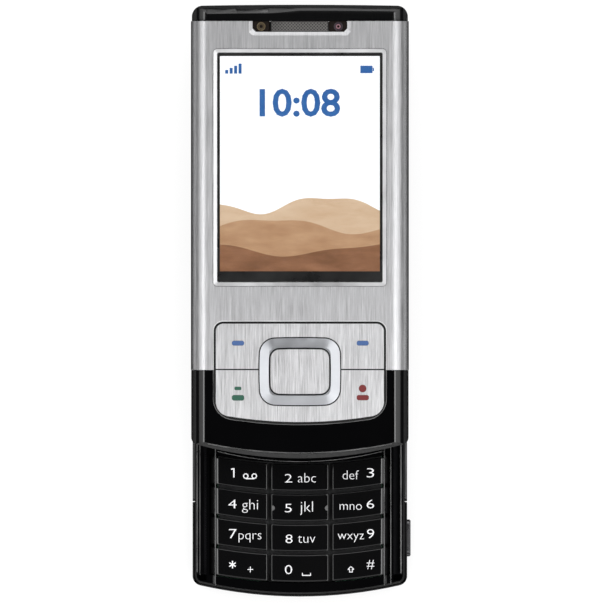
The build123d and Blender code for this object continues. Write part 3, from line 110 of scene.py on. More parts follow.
def feed(tree, shader, source, *sockets):
    for socket in sockets:
        tree.links.new(source, shader.inputs[socket])


print("helpers for finishes ready")

# %% [markdown]
# ## Patterns from nodes
# A real surface is never even, and noise is what a shader has for that. The next
# helpers place it, stretch its numbers to a useful range, mix two colours by it,
# and turn it into small bumps. The last one paints shade: it asks how much open
# sky lies around a face, and darkens the faces that look down at the table
# rather than up into the studio.

# %% Helpers for patterns
def noise(tree, size, detail=4.0, roughness=0.6, seed=0.0):
    """Noise whose blotches are size = (x, y, z) millimetres large."""
    place = add_node(tree, "TexCoord").outputs["Object"]
    scaled = add_node(tree, "Mapping", {"Vector": place, "Location": (seed, seed, seed),
                                        "Scale": [1 / (s * mm) for s in size]})
    made = add_node(tree, "TexNoise", {"Vector": scaled.outputs[0], "Scale": 1.0,
                                       "Detail": detail, "Roughness": roughness})
    return made.outputs[0]


def calculated(tree, operation, first, second):
    return add_node(tree, "Math", {0: first, 1: second}, operation=operation).outputs[0]


def ranged(tree, value, low, high, start=0.3, end=0.7):
    """Turns the numbers from start to end, by default a noise's middle, to low to high."""
    return add_node(tree, "MapRange", {"Value": value, "From Min": start, "From Max": end,
                                       "To Min": low, "To Max": high}).outputs[0]


def mixed(tree, factor, first, second):
    return add_node(tree, "Mix", {0: factor, 6: (*first, 1), 7: (*second, 1)},
                    data_type="RGBA").outputs[2]


def raise_surface(tree, shader, height, depth):
    """Tilts the light on the surface as if height were depth millimetres deep."""
    bump = add_node(tree, "Bump", {"Height": height, "Distance": depth * mm, "Strength": 1.0})
    feed(tree, shader, bump.outputs[0], "Normal")


def shade(colour, factor):
    return tuple(min(1.0, c * factor) for c in colour)


def painted_table_shade(tree, dark_at, bright_at, least):
    """Painted shade: 1 on faces that look up, falling to the least on faces that look at the
    table.
    """
    sky_reach = 200 * mm
    open_sky = add_node(tree, "AmbientOcclusion", {"Distance": sky_reach}, samples=8)
    return ranged(tree, open_sky.outputs["AO"], least, 1.0, dark_at, bright_at)


print("helpers for patterns ready")

# %% [markdown]
# ## Brushed steel
# The front plate is steel sheet, brushed with an abrasive belt along the phone.
# Each hair-thin scratch runs with the belt, so the finish is noise stretched
# sixty times longer than it is wide. The scratches change the brightness a
# little, roughen the reflection, and tilt the surface sideways, which spreads
# every reflection across the brushing. Two more steps are painted shade in place
# of a large studio: faces that look at the table are painted dark, and the steel
# is painted brighter at the low end and darker at the top end.

# %% A brushed finish
painted_steel_shade = {"dark_at": 0.79, "bright_at": 0.885, "least": 0.22}
painted_fade_factors, painted_fade_from, painted_fade_to = (1.14, 0.88), -12 * mm, 75 * mm


def brushed_finish(name, colour, roughness, width=0.13, run=8.0, spread=0.28, depth=0.004):
    tree, shader = new_finish(name, colour, roughness, Metallic=1.0)
    fine = noise(tree, (width, run, run), detail=5.0, roughness=0.75)
    broad = noise(tree, (width * 6, run * 8, run * 8), detail=2.0, seed=3.7)
    both = add_node(tree, "Mix", {0: 0.2, 2: fine, 3: broad}, data_type="FLOAT").outputs[0]
    scratched = mixed(tree, ranged(tree, both, 0, 1, 0.36, 0.64),
                      shade(colour, 1 - spread), shade(colour, 1 + spread))
    place = add_node(tree, "TexCoord").outputs["Object"]
    along = add_node(tree, "SeparateXYZ", {0: place}).outputs["Y"]
    fade = ranged(tree, along, *painted_fade_factors, painted_fade_from, painted_fade_to)
    # Painted shade: darker on faces that look at the table, and from the low end to the top end.
    lit = calculated(tree, "MULTIPLY", painted_table_shade(tree, **painted_steel_shade), fade)
    shaded = add_node(tree, "Mix", {0: 1.0, 6: scratched, 7: lit},
                      data_type="RGBA", blend_type="MULTIPLY")
    feed(tree, shader, shaded.outputs[2], "Base Color")
    feed(tree, shader, ranged(tree, fine, roughness - 0.07, roughness + 0.07), "Roughness")
    raise_surface(tree, shader, fine, depth)


brushed_finish("brushed_cover_steel", (0.50, 0.50, 0.51), 0.40)
brushed_finish("brushed_keys", (0.64, 0.64, 0.65), 0.38, run=6.0)
brushed_finish("slide_steel", (0.40, 0.40, 0.41), 0.42, width=0.3)
brushed_finish("tray_steel", (0.45, 0.45, 0.46), 0.40, width=0.3)
print("brushed finishes:", ", ".join(finishes))

# %% [markdown]
# ## Glossy black plastic
# The ends, the keypad frame and the housing are moulded in black and polished.
# A perfect mirror would look computed, so the roughness wanders a little, as a
# wiped surface's does, and the surface has the faint waviness of a moulding.
# Faces that look at the table get painted shade in their gloss.

# %% Gloss plastic
painted_gloss_shade, full_gloss = {"dark_at": 0.87, "bright_at": 0.93}, 0.5


def gloss_finish(name, colour, roughness=0.06, wave=0.0001, least=0.12):
    tree, shader = new_finish(name, colour, roughness, IOR=1.60)
    smears = noise(tree, (9.0, 16.0, 9.0), detail=5.0, roughness=0.65)
    feed(tree, shader, ranged(tree, smears, roughness, roughness + 0.015), "Roughness")
    feed(tree, shader, mixed(tree, smears, colour, shade(colour, 1.6)), "Base Color")
    # Painted shade in the gloss: faces that look at the table reflect less.
    gloss = calculated(tree, "MULTIPLY", painted_table_shade(tree, **painted_gloss_shade, least=least), full_gloss)
    feed(tree, shader, gloss, "Specular IOR Level")
    raise_surface(tree, shader, noise(tree, (3.0, 3.0, 3.0), detail=1.0), wave)


gloss_finish("black_gloss", (0.0012, 0.0012, 0.0014))
gloss_finish("key_black", (0.0028, 0.0028, 0.003), roughness=0.05, least=1.0)
gloss_finish("cap_gloss", (0.0012, 0.0012, 0.0014), roughness=0.16)
gloss_finish("dark_tile", (0.010, 0.008, 0.007), roughness=0.10)
print(len(finishes), "finishes so far")

# %% [markdown]
# ## Satin plastic
# The mouldings inside and at the back come from an eroded mould, whose fine
# grain breaks up the shine. Small specks raise the surface, and large soft
# clouds vary the colour and the roughness, so that no two places look the same.

# %% Satin plastic
def satin_finish(name, colour, roughness=0.5, grain=0.12, depth=0.006, metallic=0.0):
    tree, shader = new_finish(name, colour, roughness, Metallic=metallic)
    specks = noise(tree, (grain, grain, grain), detail=2.0)
    clouds = noise(tree, (6.0, 6.0, 6.0), detail=4.0, seed=1.3)
    feed(tree, shader, mixed(tree, clouds, shade(colour, 0.8), shade(colour, 1.2)), "Base Color")
    feed(tree, shader, ranged(tree, clouds, roughness - 0.06, roughness + 0.08), "Roughness")
    if depth:
        raise_surface(tree, shader, specks, depth)


satin_finish("black_moulding", (0.010, 0.010, 0.011))
satin_finish("rear_cover_black", (0.012, 0.012, 0.013), roughness=0.42)
satin_finish("runner_nylon", (0.03, 0.03, 0.03), roughness=0.55)
satin_finish("speaker_body", (0.02, 0.02, 0.02), roughness=0.6)
satin_finish("antenna_plastic", (0.05, 0.05, 0.055), roughness=0.6)
satin_finish("silicone", (0.012, 0.012, 0.013), roughness=0.7)
satin_finish("dome_film", (0.55, 0.53, 0.47), roughness=0.35)
satin_finish("flex_film", (0.35, 0.16, 0.04), roughness=0.35)
satin_finish("mesh_weave", (0.02, 0.018, 0.018), roughness=0.6)
satin_finish("battery_shell", (0.16, 0.17, 0.18), roughness=0.4)
satin_finish("board_green", (0.01, 0.09, 0.04), roughness=0.4)
print(len(finishes), "finishes so far")

# %% [markdown]
# ## Plated and cast metal
# The ring, the side keys, screws and cans are metal without brushing. Cast and
# plated surfaces are even, with a slow cloudiness in their gloss.

# %% Plain metals
for name, colour, roughness in (("satin_ring", (0.39, 0.40, 0.42), 0.33),
                                ("silver_key", (0.14, 0.14, 0.145), 0.28),
                                ("rail_steel", (0.008, 0.008, 0.009), 0.35),
                                ("screw_steel", (0.35, 0.35, 0.36), 0.30),
                                ("can_tin", (0.62, 0.61, 0.58), 0.38),
                                ("contact_gold", (0.85, 0.62, 0.25), 0.28),
                                ("motor_steel", (0.50, 0.50, 0.52), 0.30),
                                ("spring_steel", (0.42, 0.42, 0.43), 0.32)):
    satin_finish(name, colour, roughness, grain=0.3, depth=0.002, metallic=1.0)
print(len(finishes), "finishes so far")

# %% [markdown]
# ## Glass
# The window is clear acrylic: light goes through it and comes back from the
# display behind. The lens cover and the flash lenses are the same stuff with a
# tint. Finger grease is what gives clean glass away, so the gloss varies a bit.

# %% Glass finishes
def glass_finish(name, colour, roughness=0.0):
    tree, shader = new_finish(name, colour, roughness, IOR=1.47, Transmission_Weight=1.0)
    smears = noise(tree, (14.0, 9.0, 9.0), detail=6.0, roughness=0.6)
    greasy = ranged(tree, smears, roughness, roughness + 0.03, 0.45, 0.8)
    feed(tree, shader, greasy, "Roughness")


glass_finish("window_glass", (0.97, 0.98, 0.98))
glass_finish("lens_glass", (0.55, 0.56, 0.60))
glass_finish("flash_lens", (0.95, 0.93, 0.80), roughness=0.15)
gloss_finish("display_glass", (0.012, 0.012, 0.013), roughness=0.12)

# %% [markdown]
# ## Dress the solid pieces
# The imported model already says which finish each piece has, through the name of
# its material. Each piece gets the full finish of that name in its own slot, and
# its shape isn't touched. The top end's cap gets a slightly duller gloss.

# %% Give each solid its finish
for name, piece in nodes.items():
    for slot in piece.material_slots:
        finish = "cap_gloss" if name == "top_cap" else slot.material.name.split(".")[0]
        slot.material = finishes[finish]
print("dressed", len(nodes), "solids")

# %% [markdown]
# ## The table
# The table is white and shows nothing but the phone. It glows evenly for the
# camera and for anything that reflects it, and it goes grey where the phone
# keeps the light away, close to its sides. Reflections see a deeper shadow than
# the camera does, which keeps the polished sides dark.

# %% A pale floor
table_radius, table_drop, shadow_reach, shadow_power = 9.0, 0.02, 0.25, 120.0
floor_mesh = bmesh.new()
bmesh.ops.create_circle(floor_mesh, cap_ends=True, segments=96, radius=table_radius)
bmesh.ops.translate(floor_mesh, verts=floor_mesh.verts, vec=(0, 0, -table_drop * mm))
floor_data = bpy.data.meshes.new("floor")
floor_mesh.to_mesh(floor_data)
floor_mesh.free()
floor = bpy.data.objects.new("floor", floor_data)
bpy.context.scene.collection.objects.link(floor)

tree, shader = new_finish("table_white", (0.8, 0.8, 0.8), 0.9)
openness = add_node(tree, "AmbientOcclusion", {"Distance": shadow_reach}, samples=12).outputs["AO"]
deep_shadow = calculated(tree, "POWER", openness, shadow_power)
soft_shadow = ranged(tree, openness, 0.90, 1.0, 0.5, 0.8)
rays = add_node(tree, "LightPath").outputs
seen = calculated(tree, "MAXIMUM", rays["Is Camera Ray"], rays["Is Glossy Ray"])
seen = calculated(tree, "MAXIMUM", seen, rays["Is Transmission Ray"])
level = add_node(tree, "Mix", {0: rays["Is Camera Ray"], 2: deep_shadow, 3: soft_shadow},
                 data_type="FLOAT").outputs[0]
feed(tree, shader, calculated(tree, "MULTIPLY", level, seen), "Emission Strength")
shader.inputs["Emission Color"].default_value = (1, 1, 1, 1)
shader.inputs["Base Color"].default_value = (0.06, 0.06, 0.06, 1)
floor_data.materials.append(finishes["table_white"])
print("floor", round(floor.dimensions.x, 1), "m across")

# %% [markdown]
# ## The light
# Polished black shows only what it reflects, so the light is built like a
# product studio. Long soft boxes stand left and right, each with a brighter
# strip beside it that draws the lines on the rolled edges. One box lights the
# top end and two the low end, one high up and one at the horizon. Each box is
# given by the part of the sky that it fills, in degrees from straight above, by
# the way that it stands (0 is the right, 90 the top end), by its length in metres
# and by its brightness, and its power follows.

# %% Soft boxes
box_reach = 0.8


def soft_box(name, from_top, to_top, turn, length, brightness):
    inner, outer = (Vector((math.sin(a), 0, math.cos(a))) * box_reach
                    for a in (math.radians(from_top), math.radians(to_top)))
    width = (outer - inner).length
    lamp = bpy.data.lights.new(name, "AREA")
    lamp.shape, lamp.size, lamp.size_y = "RECTANGLE", width, length
    lamp.energy = brightness * math.pi * width * length
    across = (outer - inner).normalized()
    away = ((inner + outer) / 2).normalized()
    along = away.cross(across)
    box = bpy.data.objects.new(name, lamp)
    axes = Matrix((across, along, away)).transposed().to_4x4()
    turned = Matrix.Translation(middle_of_view) @ Matrix.Rotation(math.radians(turn), 4, "Z")
    box.matrix_world = turned @ Matrix.Translation((inner + outer) / 2) @ axes
    box.visible_camera = False
    bpy.context.scene.collection.objects.link(box)


soft_box("left_strip", 22, 31, 180, 1.4, 4.6)
soft_box("left_box", 31, 62, 180, 1.4, 1.1)
soft_box("right_strip", 16, 23, 0, 1.4, 5.6)
soft_box("right_box", 23, 60, 0, 1.4, 1.4)
soft_box("top_end_box", 40, 80, 90, 0.9, 1.9)
soft_box("low_end_box", 10, 44, 270, 0.5, 0.9)
soft_box("low_horizon_box", 76, 92, 270, 0.9, 1.1)

# %% [markdown]
# ## The sky
# Behind the soft boxes stands the studio itself. It is white in a thin band at
# the horizon, grey above it, and nearly black right overhead, which keeps the
# flat black parts black. A ramp over the height of each direction gives that.

# %% A dark sky with a white horizon
sky = bpy.data.worlds.new("sky")
sky.use_nodes = True
tree = sky.node_tree
direction = add_node(tree, "TexCoord").outputs["Generated"]
height = add_node(tree, "SeparateXYZ", {0: direction}).outputs["Z"]
ramp = add_node(tree, "ValToRGB", {0: height})
stops = ramp.color_ramp.elements
horizon_ends, grey_starts = 0.03, 0.05
stops[0].position, stops[0].color = horizon_ends, (1, 1, 1, 1)
stops[1].position, stops[1].color = grey_starts, (0.05, 0.05, 0.05, 1)
for position, grey in ((0.5, 0.12), (0.94, 0.10), (0.985, 0.008)):
    stops.new(position).color = (grey, grey, grey, 1)
tree.links.new(ramp.outputs[0], tree.nodes["Background"].inputs["Color"])
bpy.context.scene.world = sky
bpy.context.scene.view_settings.view_transform = "Standard"
print("sky with", len(stops), "steps of grey")

# %% [markdown]
# ## Shapes for the fine pieces
# Most fine pieces are thin plates with rounded corners. A plate starts as a flat
# grid. Its low end can be bowed by moving the grid's points, and its corners are
# rounded by bevelling the corner points. A finished shape rides on one body of
# the phone, so that it moves with it.

# %% Helpers for pieces
def keep(shape, name, finish, body, smooth=30):
    """Turns a finished bmesh into a piece that rides on one body of the phone."""
    mesh = bpy.data.meshes.new(name)
    shape.to_mesh(mesh)
    shape.free()
    mesh.materials.append(finishes[finish])
    mesh.shade_smooth()
    mesh.set_sharp_from_angle(angle=math.radians(smooth))
    piece = bpy.data.objects.new(name, mesh)
    bpy.context.scene.collection.objects.link(piece)
    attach(piece, body)
    return piece


def plate(half, low, high, height, low_corner=0.0, high_corner=0.0, low_arc=0.0,
          across=0.0, columns=8):
    """A flat plate, all sizes in millimetres, as a bmesh in metres."""
    shape = bmesh.new()
    bmesh.ops.create_grid(shape, x_segments=columns, y_segments=1, size=0.5)
    for v in shape.verts:
        v.co = Vector((across + v.co.x * 2 * half, low if v.co.y < 0 else high, height))
        if low_arc and v.co.y < (low + high) / 2:
            v.co.y -= (half ** 2 - (v.co.x - across) ** 2) / (2 * low_arc)
    for end, corner in ((low, low_corner), (high, high_corner)):
        if corner:
            tips = [v for v in shape.verts
                    if abs(v.co.x - across) > half - 1e-4 and abs(v.co.y - end) < 1e-4]
            bmesh.ops.bevel(shape, geom=tips, offset=corner, segments=6, profile=0.5,
                            affect="VERTICES", material=-1)
    bmesh.ops.scale(shape, verts=shape.verts, vec=(mm, mm, mm))
    return shape


print("plates ready")

# %% [markdown]
# ## Thickness and rims
# A plate gets its thickness from its own faces, pushed down. Two outlines with
# the same number of points can be bridged, which gives a rim or a sloped edge,
# with no corner to fit by hand.

# %% Helpers for thickness and rims
def thicken(shape, depth):
    """Pushes a flat plate down by depth millimetres, so that it has an underside and sides."""
    skin = bmesh.ops.extrude_face_region(shape, geom=list(shape.faces), use_keep_orig=True)
    pushed = [part for part in skin["geom"] if isinstance(part, bmesh.types.BMVert)]
    bmesh.ops.translate(shape, verts=pushed, vec=(0, 0, -depth * mm))
    bmesh.ops.recalc_face_normals(shape, faces=shape.faces)
    return shape


def face_up(shape):
    bmesh.ops.recalc_face_normals(shape, faces=shape.faces)
    if sum(f.normal.z for f in shape.faces) < 0:
        bmesh.ops.reverse_faces(shape, faces=shape.faces)
    return shape


def rim(outer, inner):
    """Bridges the outlines of two plates and frees both."""
    shape = bmesh.new()
    for source in (outer, inner):
        border = [e for e in source.edges if len(e.link_faces) == 1]
        made = {v: shape.verts.new(v.co) for e in border for v in e.verts}
        for e in border:
            shape.edges.new([made[v] for v in e.verts])
        source.free()
    bmesh.ops.bridge_loops(shape, edges=shape.edges)
    return face_up(shape)


print("rims ready")

# %% [markdown]
# ## Tiles, discs, rings and cuts
# The small marks and fine lines need only a few plain shapes: a straight tile, a
# line bowed like the rows of keys, a disc, and a flat ring, which is two circles
# with one number of points, bridged. A straight cut drops what is left over.

# %% Helpers for small marks
def tile(name, finish, body, across, half, low, high, height, depth=0.0):
    shape = plate(half, low, high, height, across=across, columns=1)
    return keep(thicken(shape, depth) if depth else shape, name, finish, body)


def bowed_line(half, middle, bow, width, height, columns):
    """A line across the phone whose ends rise by x * x / bow, all in millimetres."""
    line = bmesh.new()
    bmesh.ops.create_grid(line, x_segments=columns, y_segments=1, size=0.5)
    for v in line.verts:
        x = v.co.x * 2 * half
        v.co = Vector((x, middle + x * x / bow + v.co.y * width, height)) * mm
    return line


def disc(radius, height, x, y, segments):
    shape = bmesh.new()
    bmesh.ops.create_circle(shape, cap_ends=True, segments=segments, radius=radius * mm)
    bmesh.ops.translate(shape, verts=shape.verts, vec=(x * mm, y * mm, height * mm))
    return shape


def flat_ring(outer, inner, height, x, y, segments=28):
    shape = bmesh.new()
    for radius in (outer, inner):
        bmesh.ops.create_circle(shape, segments=segments, radius=radius * mm)
    bmesh.ops.bridge_loops(shape, edges=shape.edges)
    bmesh.ops.translate(shape, verts=shape.verts, vec=(x * mm, y * mm, height * mm))
    return face_up(shape)


def cut_off(shape, point, outward):
    """Cuts straight down at the point and drops what lies outward of it."""
    whole = shape.verts[:] + shape.edges[:] + shape.faces[:]
    bmesh.ops.bisect_plane(shape, geom=whole, clear_outer=True, plane_no=(*outward, 0),
                           plane_co=(point[0] * mm, point[1] * mm, 0))


print("helpers for small marks ready")

# %% [markdown]
# ## The lit display
# Under the window lies a small colour display. It is on and shows a white
# background with sand hills along its lower edge, a clock and two status marks.
# A screen gives light instead of reflecting it, so its finish is an emission.

# %% Finishes of the picture
def lit_finish(name, colour, deeper, strength=1.0):
    tree, shader = new_finish(name, (0, 0, 0), 0.3)
    clouds = noise(tree, (8.0, 8.0 / 3, 8.0), detail=3.0)
    feed(tree, shader, mixed(tree, ranged(tree, clouds, 0, 1), colour, deeper), "Emission Color")
    shader.inputs["Emission Strength"].default_value = strength


lit_finish("lit_white", (1.0, 1.0, 1.0), (0.97, 0.98, 1.0), strength=1.2)
lit_finish("lit_far_sand", (0.80, 0.60, 0.42), (0.68, 0.46, 0.29))
lit_finish("lit_mid_sand", (0.62, 0.38, 0.22), (0.47, 0.26, 0.14))
lit_finish("lit_near_sand", (0.36, 0.17, 0.09), (0.22, 0.10, 0.05))
lit_finish("lit_blue", (0.03, 0.13, 0.40), (0.04, 0.16, 0.45))
satin_finish("strip_grey", (0.07, 0.07, 0.072), roughness=0.4)
print("picture finishes ready")

# %% [markdown]
# ## The picture
# The picture is built in layers, each two hundredths of a millimetre above the
# last. A hill is a plate whose upper edge is moved up and down by two waves of
# different length, so that it doesn't repeat.

# %% The display's picture
screen_half, screen_low, screen_high, screen_top = 17.05, 21.25, 67.15, 14.16
layer_step, screen_depth = 0.02, 0.04
strip_half, strip_low, strip_high = 17.35, 19.2, 20.8
tile("screen_white", "lit_white", "slider", 0, screen_half, screen_low, screen_high,
     screen_top, screen_depth)
tile("screen_strip", "strip_grey", "slider", 0, strip_half, strip_low, strip_high,
     screen_top, screen_depth)


def sand_hill(name, finish, level, swing, waves, shift, layer):
    height = screen_top + layer * layer_step
    shape = plate(screen_half, screen_low, level, height, columns=48)
    for v in shape.verts:
        if v.co.y > (screen_low + 0.1) * mm:
            turn = v.co.x / (screen_half * mm) * math.pi * waves + shift
            v.co.y += swing * mm * (math.sin(turn) + 0.3 * math.sin(2.3 * turn + 1.0))
    keep(shape, name, finish, "slider")


sand_hill("far_hill", "lit_far_sand", 35.5, 1.7, 1.1, 0.4, 1)
sand_hill("mid_hill", "lit_mid_sand", 31.0, 1.5, 0.9, 2.6, 2)
sand_hill("near_hill", "lit_near_sand", 26.0, 1.3, 0.8, 5.0, 3)
print("picture", round(2 * screen_half, 2), "x", round(screen_high - screen_low, 2), "mm")

# %% [markdown]
# ## Lettering
# The keys and the clock carry plain digits and letters. Each starts as a text
# object, because the font already holds the outlines. It is turned into a mesh,
# measured, and then scaled and moved in the mesh itself, so that it fills the
# space its key has for it.

# %% Text as a mesh
def lettering(name, words, finish, body, left, right, base, height, top=None, weight=0.0):
    """Fits words between left and right and, if top is given, between base and top."""
    text = bpy.data.curves.new(name, "FONT")
    text.body, text.offset, text.resolution_u = words, weight, 3
    carrier = bpy.data.objects.new(name, text)
    bpy.context.scene.collection.objects.link(carrier)
    bpy.context.view_layer.update()
    ready = carrier.evaluated_get(bpy.context.evaluated_depsgraph_get())
    mesh = bpy.data.meshes.new_from_object(ready)
    bpy.data.objects.remove(carrier)
    xs, ys = [v.co.x for v in mesh.vertices], [v.co.y for v in mesh.vertices]
    wide = (right - left) / (max(xs) - min(xs))
    tall = (top - base) / (max(ys) - min(ys)) if top else wide
    start = min(ys) if top else 0.0
    to_corner = Matrix.Translation((-min(xs), -start, 0))
    mesh.transform(Matrix.Diagonal((wide * mm, tall * mm, mm, 1)) @ to_corner)
    mesh.transform(Matrix.Translation(Vector((left, base, height)) * mm))
    mesh.materials.clear()
    mesh.materials.append(finishes[finish])
    piece = bpy.data.objects.new(name, mesh)
    bpy.context.scene.collection.objects.link(piece)
    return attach(piece, body)


mark_level = screen_top + layer_step
clock_half, clock_base, clock_top = 8.6, 54.2, 60.2
clock = lettering("clock", "10:08", "lit_blue", "slider", -clock_half, clock_half, clock_base,
                  mark_level, top=clock_top, weight=0.02)
print("clock", round(clock.dimensions.x / mm, 2), "mm wide")

# %% [markdown]
# ## Marks on the screen
# Four bars for the signal and a small battery, drawn as little plates.

# %% Status marks
bar_pitch, bar_growth = 0.95, 0.45
for bar in range(4):
    tile(f"signal_bar_{bar + 1}", "lit_blue", "slider", -15.6 + bar_pitch * bar, 0.32,
         63.4, 64.2 + bar_growth * bar, mark_level)
tile("charge_mark", "lit_blue", "slider", 14.2, 1.3, 63.5, 65.1, mark_level)
tile("charge_mark_tip", "lit_blue", "slider", 15.68, 0.14, 63.95, 64.65, mark_level)
print("status marks placed")

# %% [markdown]
# ## The window's edge
# The steel round the window slopes down to the glass in a narrow polished border
# that draws a light frame, and the window itself is printed black on its back, up
# to the lit area. The solid has that slope. The finer frame lies over it, about a
# tenth of a millimetre proud at its outer side and falling to the plate inside,
# and is bridged between two rounded outlines.

# %% Polished frame and printed border
front_face, window_half, window_low, window_high = 16.1, 17.58, 18.95, 67.8
frame_reach, frame_rise, frame_start, frame_foot = 0.86, 0.12, 0.10, 0.01
border_level, border_lap, lit_half, lit_lap = 15.76, 0.02, 17.1, 0.05


def around_window(margin, height, corner=0.0, columns=8):
    """The window's outline, larger by the margin on every side."""
    return plate(window_half + margin, window_low - margin, window_high + margin, height,
                 corner, corner, columns=columns)


satin_finish("polished_slope", (0.62, 0.62, 0.63), roughness=0.36, depth=0, metallic=1.0)
keep(rim(around_window(frame_reach, front_face + frame_rise, 0.8),
         around_window(frame_start, front_face + frame_foot, 0.4)),
     "window_slope", "polished_slope", "slider")
satin_finish("border_print", (0.002, 0.002, 0.002), roughness=0.3, depth=0.0005)
keep(rim(around_window(border_lap, border_level, columns=1),
         plate(lit_half, screen_low - lit_lap, screen_high + lit_lap, border_level, columns=1)),
     "window_border", "border_print", "slider")
print("window edge ready")

# %% [markdown]
# ## The gaps around the function keys
# A running gap between two moulded keys shows as a fine black line, because no
# light comes back out of it. At this scale it is a quarter of a millimetre wide,
# so a dark strip is laid on the floor of each gap as painted shade.

# %% Painted shade in the gaps
panel_half, panel_low, panel_high, panel_arc = 18.25, -9.487, 10.4, 95.0
ring_half_x, ring_half_y, ring_corner, ring_swell, ring_centre = 8.6, 7.15, 3.3, 0.25, -0.15
panel_gap_level, panel_gap_out, panel_gap_in = 15.96, 0.10, -0.36
ring_gap_level, ring_gap_out, ring_gap_in = 15.88, 0.08, -0.35


def around_panel(margin, height, low_corner, high_corner):
    """The key panel's outline, larger by the margin on every side, with its corners' radii."""
    return plate(panel_half + margin, panel_low - margin, panel_high + margin, height,
                 low_corner, high_corner, panel_arc)


def around_ring(margin, corner):
    """The ring's outline, a rounded plate whose four sides swell outwards a little."""
    half_x, half_y = ring_half_x + margin, ring_half_y + margin
    shape = plate(half_x, -half_y, half_y, ring_gap_level, corner, corner, columns=1)
    sides = [e for e in shape.edges if e.calc_length() > corner * mm / 2]
    bmesh.ops.subdivide_edges(shape, edges=sides, cuts=7)
    for v in shape.verts:
        x, y = v.co.x / mm, v.co.y / mm
        if abs(abs(x) - half_x) < 1e-4:
            v.co.x += math.copysign(ring_swell * mm * (1 - (y / half_y) ** 2), x)
        if abs(abs(y) - half_y) < 1e-4:
            v.co.y += math.copysign(ring_swell * mm * (1 - (x / half_x) ** 2), y)
    bmesh.ops.translate(shape, verts=shape.verts, vec=(0, ring_centre * mm, 0))
    return shape


# Painted shade: a flat black strip stands for the darkness inside each gap.
satin_finish("gap_black", (0.0015, 0.0015, 0.0015), roughness=0.8, depth=0.001)
keep(rim(around_panel(panel_gap_out, panel_gap_level, 3.45, 1.95),
         around_panel(panel_gap_in, panel_gap_level, 3.05, 1.55)),
     "panel_gap", "gap_black", "slider")
keep(rim(around_ring(ring_gap_out, ring_corner + 0.3),
         around_ring(ring_gap_in, ring_corner - 0.1)), "ring_gap", "gap_black", "slider")
for side, x in (("left", -13.5), ("right", 13.5)):
    tile(f"split_gap_{side}", "gap_black", "slider", x, 4.9, 0.17, 0.43, panel_gap_level)
print("gap strips laid")

# %% [markdown]
# ## Lines of light around the panel
# The opening for the panel has a fine round edge, which catches one line of
# light: a bright one in the steel above, a faint one in the black chin below. The
# chin's low end has a third, bowed like the rows of keys. The edge is too fine
# to model, so hair-thin strips in a paler finish lie on it. Each line of the
# opening starts as a whole rim and is cut off where the steel meets the chin.

# %% Lines on the opening and the chin
line_level, opening_gap, steel_ends = 16.104, 0.14, 0.2
satin_finish("edge_glint", (0.22, 0.22, 0.22), roughness=0.3, depth=0.001, metallic=1.0)
satin_finish("steel_glint", (0.75, 0.75, 0.76), roughness=0.4, depth=0.001, metallic=1.0)
for name, finish, width, cut_way in (("opening_edge_steel", "steel_glint", 0.16, -1),
                                     ("opening_edge_chin", "edge_glint", 0.14, 1)):
    edge = rim(around_panel(opening_gap + width, line_level, 3.6, 2.1),
               around_panel(opening_gap, line_level, 3.5, 2.0))
    cut_off(edge, (0, steel_ends), (0, cut_way))
    keep(edge, name, finish, "slider")

chin_half, chin_middle, chin_bow, chin_width, chin_level = 19.7, -17.50, 193, 0.24, 16.105
chin_line = bowed_line(chin_half, chin_middle, chin_bow, chin_width, chin_level, columns=28)
keep(chin_line, "chin_lower_line", "edge_glint", "slider")
print("lines of light laid")

# %% [markdown]
# ## Printed marks on the function keys
# The two upper keys carry a blue bar each, the call key a green mark and the end
# key a red one. They are pad-printed enamel, a few hundredths thick, so each is a
# little rounded plate just above the metal. A faint painted glow keeps each
# colour clear beside the bright steel.

# %% Marks in enamel
enamel_level, enamel_depth, enamel_painted_glow = 16.05, 0.04, 0.10


def enamel(name, colour):
    tree, shader = new_finish(name, colour, 0.35)
    clouds = noise(tree, (2.0, 2.0, 2.0), detail=2.0)
    cloudy = mixed(tree, clouds, shade(colour, 0.85), shade(colour, 1.15))
    feed(tree, shader, cloudy, "Base Color", "Emission Color")
    # Painted glow: the enamel gets a faint light of its own.
    shader.inputs["Emission Strength"].default_value = enamel_painted_glow


def mark(name, finish, body, left, right, low, high, corner=0.42):
    shape = plate((right - left) / 2, low, high, enamel_level, corner, corner,
                  across=(left + right) / 2, columns=1)
    keep(thicken(shape, enamel_depth), name, finish, body)


enamel("enamel_blue", (0.050, 0.105, 0.260))
enamel("enamel_green", (0.020, 0.090, 0.058))
enamel("enamel_red", (0.150, 0.018, 0.018))
mark("soft_mark_left", "enamel_blue", "soft_keys", -14.47, -11.91, 5.42, 6.42)
mark("soft_mark_right", "enamel_blue", "soft_keys", 12.14, 14.66, 5.42, 6.42)
mark("call_mark_small", "enamel_green", "call_keys", -13.92, -12.51, -4.07, -3.39, 0.2)
mark("call_mark", "enamel_green", "call_keys", -14.47, -11.91, -6.31, -5.16)
mark("end_mark", "enamel_red", "call_keys", 12.14, 14.70, -6.24, -5.16)
mark("end_mark_dot", "enamel_red", "call_keys", 12.59, 14.17, -4.54, -2.96, 0.78)
print("enamel marks printed")

# %% [markdown]
# ## Lacquered key caps
# Each cap starts as a strip of narrow faces between two lines bowed like the
# rows. It is given thickness, the upper rim is bevelled in three steps for the
# fine lights along its edges, and a narrow inset keeps the flat top flat. The
# outer caps are rolled down at their free end, over the shoulder of the keypad.
# They end above the silicone mat, which leaves room for the stroke.

# %% The shape of a key cap
key_height, key_pitch, top_row, row_arc = 5.76, 6.46, -22.85, 104.0
key_level, key_floor, shoulder_start, shoulder_round = 8.75, 7.56, 17.10, 2.15
rim_round, top_inset = 0.28, 0.03


